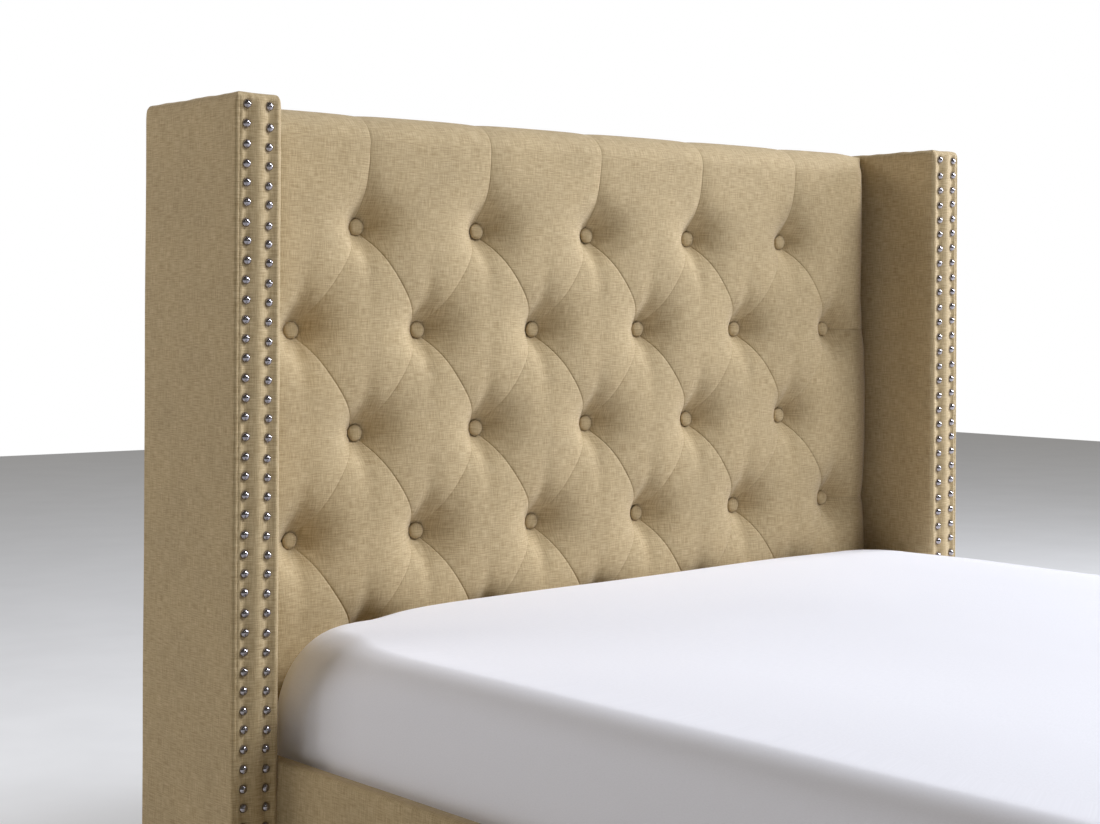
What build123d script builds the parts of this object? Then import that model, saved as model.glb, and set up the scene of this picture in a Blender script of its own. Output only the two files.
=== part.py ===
from build123d import *
import math
import os

os.makedirs("parts", exist_ok=True)

# A queen-size bed with a diamond-tufted headboard between two padded wings.
# X runs across the bed, Y towards the headboard and Z up. The origin is on the floor,
# at the middle of the bed's length and width.

# Mattress and fitted sheet
mattress_width = 1524
mattress_length = 2032
mattress_height = 244
mattress_crown = 6
mattress_crown_reach = 240
mattress_corner_radius = 90
mattress_top_round = 60
mattress_top_draw = 42
mattress_bottom_round = 26
mattress_bottom_draw = 20
mattress_crown_inset = 70
mattress_top_degrees = (0, 30, 60, 90)
mattress_bottom_degrees = (90, 40, 0)
sheet_thickness = 1.0
sheet_tuck = 110
mattress_side_gap = 2
mattress_foot_gap = 8
mattress_head_gap = 1.0

# Clearances
fit_gap = 0.3
screw_clearance = 0.1
bolt_clearance = 0.3
overrun = 5

# Button grid of the tufted pad
button_pitch = 263
row_pitch = 179
first_row_height = 1253
even_row_buttons = 5
row_count = 5
button_radius = 14.5
button_waist_radius = 11.5
button_height = 7
button_crown = 2.6
button_sides = 8

# Tufted pad: foam and linen pulled against the plywood
pad_backing = 14
pad_crest = 38
pleat_rise = 16
wing_edge_rise = 3
button_seat_gap = 0.7
seat_depth = 1
top_roll_radius = 46
bottom_roll_radius = 30
pad_top_below_wing = 6
pad_top_padding = 16
pad_below_last_row = 112
diamond_level_shares = (0.0, 0.25, 0.5, 0.75, 1.0)
side_level_shares = (0.0, 0.4, 0.75, 1.0)
pleat_level_shares = (0.0, 0.45, 1.0)
roll_level_shares = (0.5, 0.8, 1.0)
shoulder_share = 0.75
rolled_edge_share = 0.15

# Wings
wing_height = 1450
wing_thickness = 82
wing_front_depth = 189
wing_back_depth = 109
wing_padding = 8
wing_panel_thickness = 6
wing_corner_radius = 7
wing_front_crown = 4
wing_crown_inset = 27
wing_post_depth = 60
wing_rail_height = 60
wing_middle_rails = 3
glide_width = 26
glide_length = 60
glide_height = 4
glide_inset = 30

# Nailheads, two rows down the front of each wing
nail_pitch = 30.6
nail_radius = 7.5
nail_crown_radius = 4.2
nail_height = 4.4
nail_row_inset = 18.5
nail_top_inset = 20
nail_bottom_inset = 24
nail_sides = 6

# Headboard inside
plywood_thickness = 9
frame_board = 38
frame_middle_stiles = 2
frame_middle_rails = 2
lower_board_height = 210
lower_board_thickness = 38
lower_cover_proud = 2
back_cover_thickness = 1.5

# Side rails and footboard
rail_top_height = 395
rail_height = 265
rail_core_thickness = 18
rail_outer_padding = 6
rail_inner_padding = 2
rail_edge_radius = 5
footboard_core_thickness = 30
footboard_padding = 8
footboard_corner_radius = 14
leg_glide_height = 4
leg_top_width = 60
leg_bottom_width = 42
leg_inset = 8
leg_glide_radius = 15

# Slats, ledgers and straps
mattress_recess = 40
slat_count = 13
slat_width = 70
slat_thickness = 19
slat_end_gap = 2
ledger_width = 25
ledger_height = 38
ledger_end_gap = 66
webbing_width = 25
webbing_thickness = 1
webbing_place = 420

# Centre beam and its legs
beam_width = 40
beam_height = 70
hanger_thickness = 2
hanger_seat = 46
hanger_cheek_height = 50
hanger_plate_width = 92
centre_leg_count = 3
centre_leg_width = 40
leveller_radius = 16
leveller_foot_height = 8
leveller_gap = 6
leveller_stud_radius = 4
leveller_stud_length = 36
leveller_bore_depth = 48

# Brackets and bolts
bracket_height = 140
bracket_flange = 52
bracket_thickness = 3
bracket_hole_inset = 28
bracket_bolt_spacing = 80
bolt_radius = 4
shank_sides = 8
bolt_head_radius = 7.5
bolt_head_height = 5.3
bolt_depth_in_wood = 32
wing_bolt_count = 3
wing_bolt_end_inset = 150

# Places across the bed
sheet_half_width = mattress_width / 2 + fit_gap + sheet_thickness
rail_inner_x = sheet_half_width + mattress_side_gap
rail_core_inner_x = rail_inner_x + rail_inner_padding
rail_core_outer_x = rail_core_inner_x + rail_core_thickness
rail_outer_x = rail_core_outer_x + rail_outer_padding
wing_inner_x = rail_outer_x + fit_gap
wing_outer_x = wing_inner_x + wing_thickness
pad_half_width = wing_inner_x - fit_gap
end_button_x = even_row_buttons / 2 * button_pitch

# Places along the bed, worked out from the head end and then centred
footboard_thickness = footboard_core_thickness + 2 * footboard_padding
mattress_room = mattress_length + 2 * (fit_gap + sheet_thickness)
overall_length = wing_back_depth + pad_crest + mattress_head_gap + mattress_room
overall_length += mattress_foot_gap + footboard_thickness
head_back_y = overall_length / 2
button_y = head_back_y - wing_back_depth
wing_front_y = button_y - wing_front_depth
pad_back_y = button_y + pad_backing
plywood_back_y = pad_back_y + plywood_thickness
frame_back_y = head_back_y - back_cover_thickness
lower_face_y = button_y - lower_cover_proud
mattress_head_y = button_y - pad_crest - mattress_head_gap - fit_gap - sheet_thickness
mattress_foot_y = mattress_head_y - mattress_length
foot_outer_y = -head_back_y
foot_inner_y = foot_outer_y + footboard_thickness
wing_post_back_y = head_back_y - wing_padding
wing_post_front_y = wing_front_y + wing_padding

# Heights
rail_bottom_height = rail_top_height - rail_height
slat_top_height = rail_top_height - mattress_recess
slat_bottom_height = slat_top_height - slat_thickness
mattress_bottom_height = slat_top_height + 2 * fit_gap + sheet_thickness
beam_bottom_height = slat_bottom_height - beam_height
last_row_height = first_row_height - (row_count - 1) * row_pitch
pad_top_height = wing_height - pad_top_below_wing
pad_bottom_height = last_row_height - pad_below_last_row
frame_top_height = pad_top_height - pad_top_padding
centre_leg_bottom = leveller_foot_height + leveller_gap
leg_height = rail_bottom_height - leg_glide_height

sides = (("left", -1), ("right", 1))


def block(x_range, y_range, z_range):
    """A box between three pairs of limits, each in any order."""
    low = [min(pair) for pair in (x_range, y_range, z_range)]
    size = [abs(pair[1] - pair[0]) for pair in (x_range, y_range, z_range)]
    return Pos(*low) * Box(*size, align=(Align.MIN, Align.MIN, Align.MIN))


def rod(radius, start, end):
    """A round rod between two points that differ along one axis."""
    axis = Vector(*end) - Vector(*start)
    place = Plane(origin=start, z_dir=axis.normalized())
    return place * Cylinder(radius, axis.length, align=(Align.CENTER, Align.CENTER, Align.MIN))


def bolt(start, end, direction):
    """A hexagon bolt from the seat of its head to its tip, with its head along a direction."""
    length = (Vector(*end) - Vector(*start)).length
    head_place = Plane(origin=start, z_dir=direction)
    shank_place = Plane(origin=start, z_dir=-head_place.z_dir)
    head = extrude(head_place * RegularPolygon(bolt_head_radius, 6), amount=bolt_head_height)
    return head + extrude(shank_place * RegularPolygon(bolt_radius, shank_sides), amount=length)


def save(shape, node):
    export_step(shape, f"parts/{node}.step")


def fused(pieces):
    """One solid from pieces that meet."""
    whole = pieces[0]
    for piece in pieces[1:]:
        whole = whole + piece
    return whole


# Bolt places, shared by the bolts and the holes in their brackets

def bracket_bolt_heights():
    middle = rail_bottom_height + rail_height / 2
    return (middle - bracket_bolt_spacing / 2, middle + bracket_bolt_spacing / 2)


def bracket_bolt_x(side):
    return side * (rail_inner_x - bracket_hole_inset)


def wing_bolt_heights():
    low = rail_bottom_height + wing_bolt_end_inset
    high = frame_top_height - wing_bolt_end_inset
    step = (high - low) / (wing_bolt_count - 1)
    return [low + i * step for i in range(wing_bolt_count)]


def wing_bolt_y():
    return (plywood_back_y + lower_board_thickness + frame_back_y) / 2


def wing_bolt_end_x():
    return wing_inner_x + wing_padding + wing_panel_thickness + bolt_depth_in_wood


# Headboard

def headboard_frame():
    """Uprights, stiles and rails on edge, with the board that takes the rail bolts."""
    depth = (plywood_back_y, frame_back_y)
    height = (rail_bottom_height, frame_top_height)
    half = wing_inner_x - fit_gap
    pieces = [block((-half, half), depth, (frame_top_height - frame_board, frame_top_height))]
    pieces.append(block((-half, half), depth, (rail_bottom_height, rail_bottom_height + frame_board)))
    for name, side in sides:
        pieces.append(block((side * (half - frame_board), side * half), depth, height))
    stile_step = 2 * half / (frame_middle_stiles + 1)
    for i in range(frame_middle_stiles):
        x = -half + (i + 1) * stile_step
        pieces.append(block((x - frame_board / 2, x + frame_board / 2), depth, height))
    rail_step = (frame_top_height - rail_bottom_height) / (frame_middle_rails + 1)
    for i in range(frame_middle_rails):
        z = rail_bottom_height + (i + 1) * rail_step
        pieces.append(block((-half, half), depth, (z - frame_board / 2, z + frame_board / 2)))
    board_depth = (plywood_back_y, plywood_back_y + lower_board_thickness)
    board_height = (rail_bottom_height, rail_bottom_height + lower_board_height)
    pieces.append(block((-half, half), board_depth, board_height))
    return fused(pieces)


def headboard_plywood():
    half = wing_inner_x - fit_gap
    return block((-half, half), (pad_back_y, plywood_back_y), (rail_bottom_height, frame_top_height))


def headboard_lower_cover():
    """The plain padded face below the tufting."""
    z_range = (rail_bottom_height, pad_bottom_height)
    return block((-pad_half_width, pad_half_width), (lower_face_y, pad_back_y), z_range)


def headboard_back_cover():
    z_range = (rail_bottom_height, pad_top_height)
    return block((-pad_half_width, pad_half_width), (frame_back_y, head_back_y), z_range)


# Diamond-tufted pad. Its front swells between the folds. Every diamond is the same form,
# the first and last rows run on into upright pleats, and level pleats reach to the wings.

def front_point(x, proud, height, thickness_share=1):
    """A point of the pad's front that stands proud of the button line."""
    return x, pad_back_y - (pad_backing + proud) * thickness_share, height


def padded_section(arcs):
    """A section of the pad: its front arcs, closed by a straight back and two sides."""
    first = arcs[0] @ 0
    last = arcs[-1] @ 1
    first_back = Vector(first.X, pad_back_y, first.Z)
    last_back = Vector(last.X, pad_back_y, last.Z)
    lines = [Line(last, last_back), Line(last_back, first_back), Line(first_back, first)]
    return Face(Wire(arcs + lines))


def fold_rise():
    """How proud a fold stands halfway between two buttons: half the diamond's crest."""
    return pad_crest / 2


def diamond():
    """One diamond, ruled through sections that lie along one pair of its folds."""
    sections = []
    for share in diamond_level_shares:
        rise = 4 * share * (1 - share) * fold_rise()
        start = front_point(-button_pitch / 2 * (1 - share), rise, -row_pitch * share)
        end = front_point(button_pitch / 2 * share, rise, row_pitch * (1 - share))
        crest_x = (start[0] + end[0]) / 2
        crest = front_point(crest_x, rise + fold_rise(), (start[2] + end[2]) / 2)
        sections.append(padded_section([ThreePointArc(start, crest, end)]))
    return loft(sections, ruled=True)


def row_places(row, count):
    """The places of so many buttons or diamonds, centred in a row."""
    height = first_row_height - row * row_pitch
    return [((i - (count - 1) / 2) * button_pitch, height) for i in range(count)]


def button_places():
    places = []
    for row in range(row_count):
        places += row_places(row, even_row_buttons + row % 2)
    return places


def diamond_field():
    """The diamonds from the first row to the last, cut off at the end buttons."""
    one = diamond()
    diamonds = []
    for row in range(row_count):
        for x, height in row_places(row, even_row_buttons + (row + 1) % 2):
            diamonds.append(Pos(x, 0, height) * one)
    field = diamonds[0] + diamonds[1:]
    y_range = (pad_back_y + overrun, button_y - pad_crest - overrun)
    return field & block((-end_button_x, end_button_x), y_range, (last_row_height, first_row_height))


def pleated_section(height, pleat, thickness_share):
    """One level of the upright pleats: an arc from pleat to pleat, and down to each wing."""
    folds = [(-pad_half_width, wing_edge_rise)]
    for x, row_height in row_places(0, even_row_buttons):
        folds.append((x, pleat))
    folds.append((pad_half_width, wing_edge_rise))
    arcs = []
    for start, end in zip(folds, folds[1:]):
        points = (start, ((start[0] + end[0]) / 2, pad_crest), end)
        arcs.append(ThreePointArc(*[front_point(*point, height, thickness_share) for point in points]))
    return padded_section(arcs)


def pleated_strip(row_height, edge_height, roll_radius):
    """The pad beyond the first or the last row, pleated and rolled over at its edge."""
    way = math.copysign(1, edge_height - row_height)
    roll_start = edge_height - way * roll_radius
    sections = []
    for share in pleat_level_shares:
        pleat = pleat_rise * math.sin(math.pi / 2 * share)
        sections.append(pleated_section(row_height + share * (roll_start - row_height), pleat, 1))
    for share in roll_level_shares:
        thickness_share = max(rolled_edge_share, math.sqrt(1 - share * share))
        sections.append(pleated_section(roll_start + way * share * roll_radius, pleat_rise, thickness_share))
    return loft(sections, ruled=True)


def side_strip(side):
    """The pad beside a wing: level pleats from the end buttons, and a fall to the wing."""
    sections = []
    for share in side_level_shares:
        x = side * (end_button_x + share * (pad_half_width - end_button_x))
        crest = wing_edge_rise + (pad_crest - wing_edge_rise) * (1 - share * share)
        shoulder = crest * shoulder_share
        arcs = []
        for row in range(row_count - 1):
            low = last_row_height + row * row_pitch
            rises = (0, shoulder, crest) if row % 2 else (crest, shoulder, 0)
            points = [front_point(x, rise, low + i * row_pitch / 2) for i, rise in enumerate(rises)]
            arcs.append(ThreePointArc(*points))
        sections.append(padded_section(arcs))
    return loft(sections, ruled=True)


def headboard_tufted_pad():
    pieces = [pleated_strip(first_row_height, pad_top_height, top_roll_radius)]
    pieces.append(pleated_strip(last_row_height, pad_bottom_height, bottom_roll_radius))
    pieces += [side_strip(side) for name, side in sides]
    cap_height = (frame_top_height, pad_top_height)
    pieces.append(block((-pad_half_width, pad_half_width), (pad_back_y, frame_back_y), cap_height))
    pad = diamond_field() + pieces
    seat = RegularPolygon(button_radius + button_seat_gap, button_sides)
    pockets = []
    for x, height in button_places():
        place = Plane(origin=(x, button_y + seat_depth, height), z_dir=(0, -1, 0))
        pockets.append(extrude(place * seat, amount=seat_depth + pad_crest + overrun))
    return pad - pockets


def tuft_buttons():
    """Covered buttons, each a waisted base under a low crown, seated in the pad's folds."""
    head = button()
    buttons = []
    for x, height in button_places():
        place = Plane(origin=(x, button_y + seat_depth - fit_gap, height), z_dir=(0, -1, 0))
        buttons.append(place * head)
    return Compound(buttons)


def button():
    """One button: a flange that widens to its rim and a crown that tapers from it."""
    rim_height = button_height - button_crown
    flare = math.degrees(math.atan((button_radius - button_waist_radius) / rim_height))
    base = extrude(RegularPolygon(button_waist_radius, button_sides), amount=rim_height, taper=-flare)
    draw = math.degrees(math.atan((button_radius - button_waist_radius) / button_crown))
    rim = Pos(0, 0, rim_height) * RegularPolygon(button_radius, button_sides)
    return base + extrude(rim, amount=button_crown, taper=draw)


# Wings

def wing_outline(side):
    """The wing's cross-section: straight, with a low crown between the two nail rows."""
    inner = side * wing_inner_x
    outer = side * wing_outer_x
    crown_inner = side * (wing_inner_x + wing_crown_inset)
    crown_outer = side * (wing_outer_x - wing_crown_inset)
    middle = (crown_inner + crown_outer) / 2
    lines = Polyline(
        (crown_inner, wing_front_y),
        (inner, wing_front_y),
        (inner, head_back_y),
        (outer, head_back_y),
        (outer, wing_front_y),
        (crown_outer, wing_front_y),
    )
    crown = ThreePointArc(
        (crown_outer, wing_front_y),
        (middle, wing_front_y - wing_front_crown),
        (crown_inner, wing_front_y),
    )
    return make_face([lines, crown])


def wing_cover(side):
    body = extrude(Pos(0, 0, glide_height) * wing_outline(side), amount=wing_height - glide_height)
    corners = [edge for edge in body.edges().filter_by(Axis.Z) if not is_crown_edge(edge, side)]
    body = fillet(corners, wing_corner_radius)
    hollow = block(
        (side * (wing_inner_x + wing_padding), side * (wing_outer_x - wing_padding)),
        (wing_post_front_y, wing_post_back_y),
        (glide_height + wing_padding, wing_height - wing_padding),
    )
    return body - hollow


def is_crown_edge(edge, side):
    """True for the two edges where the front crown starts."""
    across = abs(edge.center().X)
    return wing_inner_x + wing_corner_radius < across < wing_outer_x - wing_corner_radius


def wing_panels(side):
    """Two thin plywood sides inside the cover."""
    z_range = (glide_height + wing_padding, wing_height - wing_padding)
    y_range = (wing_post_front_y, wing_post_back_y)
    inner = side * (wing_inner_x + wing_padding)
    outer = side * (wing_outer_x - wing_padding)
    inner_panel = block((inner, inner + side * wing_panel_thickness), y_range, z_range)
    outer_panel = block((outer - side * wing_panel_thickness, outer), y_range, z_range)
    return Compound([inner_panel, outer_panel])


def wing_frame(side):
    """Two posts and the rails between them, glued up as one frame."""
    inner = side * (wing_inner_x + wing_padding + wing_panel_thickness)
    outer = side * (wing_outer_x - wing_padding - wing_panel_thickness)
    low = glide_height + wing_padding
    high = wing_height - wing_padding
    front_post = (wing_post_front_y, wing_post_front_y + wing_post_depth)
    back_post = (wing_post_back_y - wing_post_depth, wing_post_back_y)
    pieces = [block((inner, outer), back_post, (low, high))]
    pieces.append(block((inner, outer), front_post, (low, high)))
    span = high - low - wing_rail_height
    for i in range(wing_middle_rails + 2):
        start = low + i * span / (wing_middle_rails + 1)
        y_range = (wing_post_front_y, wing_post_back_y)
        pieces.append(block((inner, outer), y_range, (start, start + wing_rail_height)))
    return fused(pieces)


def nailhead():
    draw = math.degrees(math.atan((nail_radius - nail_crown_radius) / nail_height))
    return extrude(RegularPolygon(nail_radius, nail_sides), amount=nail_height, taper=draw)


def wing_nailheads(side):
    top = wing_height - nail_top_inset
    count = int((top - glide_height - nail_bottom_inset) / nail_pitch) + 1
    head = nailhead()
    heads = []
    for x in (wing_inner_x + nail_row_inset, wing_outer_x - nail_row_inset):
        for i in range(count):
            place = Plane(origin=(side * x, wing_front_y, top - i * nail_pitch), z_dir=(0, -1, 0))
            heads.append(place * head)
    return Compound(heads)


def wing_glides(side):
    """Two plastic skids nailed under the wing."""
    x = side * (wing_inner_x + wing_outer_x) / 2
    x_range = (x - glide_width / 2, x + glide_width / 2)
    front = (wing_front_y + glide_inset, wing_front_y + glide_inset + glide_length)
    back = (head_back_y - glide_inset - glide_length, head_back_y - glide_inset)
    return Compound([block(x_range, y_range, (0, glide_height)) for y_range in (front, back)])


def wing_bolts(side):
    """Bolts from inside the headboard frame, through its upright, into the wing's back post."""
    bolts = []
    head_x = side * (wing_inner_x - fit_gap - frame_board)
    y = wing_bolt_y()
    for z in wing_bolt_heights():
        bolts.append(bolt((head_x, y, z), (side * wing_bolt_end_x(), y, z), (-side, 0, 0)))
    return Compound(bolts)


# Side rails and footboard

def rail_core(side):
    x_range = (side * rail_core_inner_x, side * rail_core_outer_x)
    z_range = (rail_bottom_height + rail_inner_padding, rail_top_height - rail_outer_padding)
    return block(x_range, (lower_face_y, foot_inner_y), z_range)


def rail_cover(side):
    """A padded sleeve round the rail board, with soft outer edges."""
    y_range = (lower_face_y, foot_inner_y)
    x_range = (side * rail_inner_x, side * rail_outer_x)
    sleeve = block(x_range, y_range, (rail_bottom_height, rail_top_height))
    sleeve = fillet(sleeve.edges().filter_by(Axis.Y), rail_edge_radius)
    return sleeve - rail_core(side)


def rail_ledger(side):
    x_range = (side * (rail_inner_x - ledger_width), side * rail_inner_x)
    y_range = (lower_face_y - ledger_end_gap, foot_inner_y + ledger_end_gap)
    return block(x_range, y_range, (slat_bottom_height - ledger_height, slat_bottom_height))


def footboard_core():
    half = rail_outer_x - footboard_padding
    y_range = (foot_outer_y + footboard_padding, foot_inner_y - footboard_padding)
    z_range = (rail_bottom_height + footboard_padding, rail_top_height - footboard_padding)
    return block((-half, half), y_range, z_range)


def footboard_cover():
    z_range = (rail_bottom_height, rail_top_height)
    cover = block((-rail_outer_x, rail_outer_x), (foot_outer_y, foot_inner_y), z_range)
    outer = cover.faces().sort_by(Axis.Y)[0]
    cover = fillet(outer.edges().filter_by(Axis.Z), footboard_corner_radius)
    return cover - footboard_core()


def leg_centre(side):
    x = side * (rail_outer_x - leg_inset - leg_top_width / 2)
    return x, foot_outer_y + leg_inset + leg_top_width / 2


def foot_leg(side):
    """A square leg that tapers towards the floor."""
    x, y = leg_centre(side)
    half = leg_top_width / 2
    draw = (leg_top_width - leg_bottom_width) / 2
    leg = block((x - half, x + half), (y - half, y + half), (leg_glide_height, rail_bottom_height))
    for across, along in ((1, 0), (-1, 0), (0, 1), (0, -1)):
        edge = (x + across * half, y + along * half, rail_bottom_height)
        face = Plane(origin=edge, z_dir=(across * leg_height, along * leg_height, -draw))
        leg = split(leg, bisect_by=face, keep=Keep.BOTTOM)
    return leg


def foot_leg_glides():
    glides = []
    for name, side in sides:
        x, y = leg_centre(side)
        glides.append(rod(leg_glide_radius, (x, y, 0), (x, y, leg_glide_height)))
    return Compound(glides)


# Brackets and bolts

def bracket(side, face_y, inward):
    """An angle bracket in the corner of a rail and the board at its end."""
    middle = rail_bottom_height + rail_height / 2
    z_range = (middle - bracket_height / 2, middle + bracket_height / 2)
    x = side * rail_inner_x
    along = block((x, x - side * bracket_thickness), (face_y, face_y + inward * bracket_flange), z_range)
    across = block((x, x - side * bracket_flange), (face_y, face_y + inward * bracket_thickness), z_range)
    holes = []
    for height in bracket_bolt_heights():
        hole_x = bracket_bolt_x(side)
        start = (hole_x, face_y - inward * overrun, height)
        end = (hole_x, face_y + inward * (bracket_thickness + overrun), height)
        holes.append(rod(bolt_radius + bolt_clearance, start, end))
    return along + across - holes


def bolt_seats():
    """Each rail bolt's place: side, height, seat on its bracket, way in, and how deep it goes."""
    seats = []
    for name, side in sides:
        for height in bracket_bolt_heights():
            seats.append((side, height, lower_face_y, -1, plywood_back_y + bolt_depth_in_wood))
            end_y = foot_inner_y - footboard_padding - footboard_core_thickness / 2
            seats.append((side, height, foot_inner_y, 1, end_y))
    return seats


def rail_bolts():
    bolts = []
    for side, height, face_y, inward, end_y in bolt_seats():
        x = bracket_bolt_x(side)
        head_y = face_y + inward * bracket_thickness
        bolts.append(bolt((x, head_y, height), (x, end_y, height), (0, inward, 0)))
    return Compound(bolts)


# Centre beam, its hangers, legs and levelling feet

def beam_room():
    return (lower_face_y - hanger_thickness - fit_gap, foot_inner_y + hanger_thickness + fit_gap)


def centre_beam():
    half = beam_width / 2
    return block((-half, half), beam_room(), (beam_bottom_height, slat_bottom_height))


def beam_hanger(face_y, inward):
    """A stirrup: a plate on the board, two cheeks beside the beam and a seat under it."""
    half = beam_width / 2 + fit_gap
    plate_z = (beam_bottom_height - hanger_thickness, beam_bottom_height + hanger_cheek_height)
    plate_y = (face_y, face_y + inward * hanger_thickness)
    seat_y = (face_y, face_y + inward * hanger_seat)
    pieces = [block((-hanger_plate_width / 2, hanger_plate_width / 2), plate_y, plate_z)]
    seat_z = (beam_bottom_height - hanger_thickness, beam_bottom_height)
    pieces.append(block((-half - hanger_thickness, half + hanger_thickness), seat_y, seat_z))
    for name, side in sides:
        pieces.append(block((side * half, side * (half + hanger_thickness)), seat_y, plate_z))
    return fused(pieces)


def centre_leg_places():
    step = (foot_inner_y - lower_face_y) / (centre_leg_count + 1)
    return [lower_face_y + (i + 1) * step for i in range(centre_leg_count)]


def centre_leg(y):
    half = centre_leg_width / 2
    leg = block((-half, half), (y - half, y + half), (centre_leg_bottom, beam_bottom_height))
    bore_top = centre_leg_bottom + leveller_bore_depth
    bore = rod(leveller_stud_radius + screw_clearance, (0, y, centre_leg_bottom - overrun), (0, y, bore_top))
    return leg - bore


def leveller(y):
    """A hexagonal foot on a threaded stud."""
    foot = extrude(Pos(0, y, 0) * RegularPolygon(leveller_radius, 6), amount=leveller_foot_height)
    stud_top = leveller_foot_height + leveller_gap + leveller_stud_length
    return foot + rod(leveller_stud_radius, (0, y, leveller_foot_height), (0, y, stud_top))


# Slats and straps

def slat_places():
    first = lower_face_y - ledger_end_gap - slat_width / 2
    last = foot_inner_y + ledger_end_gap + slat_width / 2
    step = (last - first) / (slat_count - 1)
    return [first + i * step for i in range(slat_count)]


def slat(y):
    half = rail_inner_x - slat_end_gap
    y_range = (y - slat_width / 2, y + slat_width / 2)
    return block((-half, half), y_range, (slat_bottom_height, slat_top_height))


def slat_webbing():
    places = slat_places()
    y_range = (places[0] + slat_width / 2, places[-1] - slat_width / 2)
    z_range = (slat_bottom_height - webbing_thickness, slat_bottom_height)
    straps = []
    for name, side in sides:
        x = side * webbing_place
        straps.append(block((x - webbing_width / 2, x + webbing_width / 2), y_range, z_range))
    return Compound(straps)


# Mattress and fitted sheet

def edge_profile():
    """The mattress's edges from the bottom up: pairs of height and how far they are drawn in."""
    profile = []
    for degrees in mattress_bottom_degrees:
        angle = math.radians(degrees)
        low = mattress_bottom_round * (1 - math.sin(angle))
        profile.append((low, mattress_bottom_draw * (1 - math.cos(angle))))
    side_top = mattress_height - mattress_top_round
    for degrees in mattress_top_degrees:
        angle = math.radians(degrees)
        high = side_top + mattress_top_round * math.sin(angle)
        profile.append((high, mattress_top_draw * (1 - math.cos(angle))))
    return profile


def mattress_form(grown):
    """The mattress, grown all round by a thickness: drawn-in edges under a low crown."""
    centre_y = (mattress_head_y + mattress_foot_y) / 2
    sections = []
    for height, draw in edge_profile():
        width = mattress_width - 2 * draw + 2 * grown
        length = mattress_length - 2 * draw + 2 * grown
        radius = mattress_corner_radius - draw + grown
        lift = height / mattress_height * 2 * grown - grown
        place = Pos(0, centre_y, mattress_bottom_height + height + lift)
        sections.append((place * RectangleRounded(width, length, radius)).face())
    body = loft(sections, ruled=True)
    crown_place = Pos(0, centre_y, mattress_bottom_height + mattress_height + grown)
    crown_width = mattress_width - 2 * mattress_crown_inset
    crown_length = mattress_length - 2 * mattress_crown_inset
    slope = math.degrees(math.atan(mattress_crown_reach / mattress_crown))
    crown = extrude(crown_place * Rectangle(crown_width, crown_length), amount=mattress_crown, taper=slope)
    return body + crown


def fitted_sheet():
    """A sheet over the top and sides that turns under the bottom edge, open below."""
    outer = mattress_form(fit_gap + sheet_thickness)
    inner = mattress_form(fit_gap)
    half = mattress_width / 2 - sheet_tuck
    bottom = mattress_bottom_height - fit_gap - sheet_thickness
    opening = block(
        (-half, half),
        (mattress_head_y - sheet_tuck, mattress_foot_y + sheet_tuck),
        (bottom - overrun, mattress_bottom_height + overrun),
    )
    return outer - inner - opening


def main():
    save(headboard_frame(), "headboard_frame")
    save(headboard_plywood(), "headboard_plywood")
    save(headboard_lower_cover(), "headboard_lower_cover")
    save(headboard_back_cover(), "headboard_back_cover")
    save(headboard_tufted_pad(), "headboard_tufted_pad")
    save(tuft_buttons(), "tuft_buttons")
    for name, side in sides:
        save(wing_cover(side), f"{name}_wing_cover")
        save(wing_panels(side), f"{name}_wing_panels")
        save(wing_frame(side), f"{name}_wing_frame")
        save(wing_nailheads(side), f"{name}_wing_nailheads")
        save(wing_glides(side), f"{name}_wing_glides")
        save(wing_bolts(side), f"{name}_wing_bolts")
        save(rail_core(side), f"{name}_rail_core")
        save(rail_cover(side), f"{name}_rail_cover")
        save(rail_ledger(side), f"{name}_rail_ledger")
        save(bracket(side, lower_face_y, -1), f"{name}_rail_head_bracket")
        save(bracket(side, foot_inner_y, 1), f"{name}_rail_foot_bracket")
        save(foot_leg(side), f"{name}_foot_leg")
    save(footboard_core(), "footboard_core")
    save(footboard_cover(), "footboard_cover")
    save(foot_leg_glides(), "foot_leg_glides")
    save(rail_bolts(), "rail_bolts")
    save(centre_beam(), "centre_beam")
    save(beam_hanger(lower_face_y, -1), "centre_beam_head_hanger")
    save(beam_hanger(foot_inner_y, 1), "centre_beam_foot_hanger")
    for i, y in enumerate(centre_leg_places(), 1):
        save(centre_leg(y), f"centre_leg_{i}")
        save(leveller(y), f"leveller_{i}")
    for i, y in enumerate(slat_places(), 1):
        save(slat(y), f"slat_{i:02d}")
    save(slat_webbing(), "slat_webbing")
    save(mattress_form(0), "mattress")
    save(fitted_sheet(), "fitted_sheet")


main()
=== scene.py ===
import math

import bmesh
import bpy
import numpy as np
from mathutils import Matrix, Vector


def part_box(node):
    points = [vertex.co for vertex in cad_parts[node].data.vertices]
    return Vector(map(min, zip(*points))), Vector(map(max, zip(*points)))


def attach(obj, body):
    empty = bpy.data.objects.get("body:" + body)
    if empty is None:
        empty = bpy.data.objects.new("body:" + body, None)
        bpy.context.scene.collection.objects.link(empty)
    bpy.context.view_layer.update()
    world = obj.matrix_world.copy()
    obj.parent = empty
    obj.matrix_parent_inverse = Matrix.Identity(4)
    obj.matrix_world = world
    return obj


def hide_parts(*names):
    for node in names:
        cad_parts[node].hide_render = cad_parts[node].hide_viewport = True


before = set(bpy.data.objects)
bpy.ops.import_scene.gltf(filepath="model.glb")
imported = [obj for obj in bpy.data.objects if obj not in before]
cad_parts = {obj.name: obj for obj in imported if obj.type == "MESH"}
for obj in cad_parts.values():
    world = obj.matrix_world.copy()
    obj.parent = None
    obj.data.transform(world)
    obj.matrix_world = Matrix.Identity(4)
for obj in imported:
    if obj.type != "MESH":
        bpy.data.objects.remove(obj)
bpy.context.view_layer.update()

# Values are in metres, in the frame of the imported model: X across, Y towards the headboard.

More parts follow.
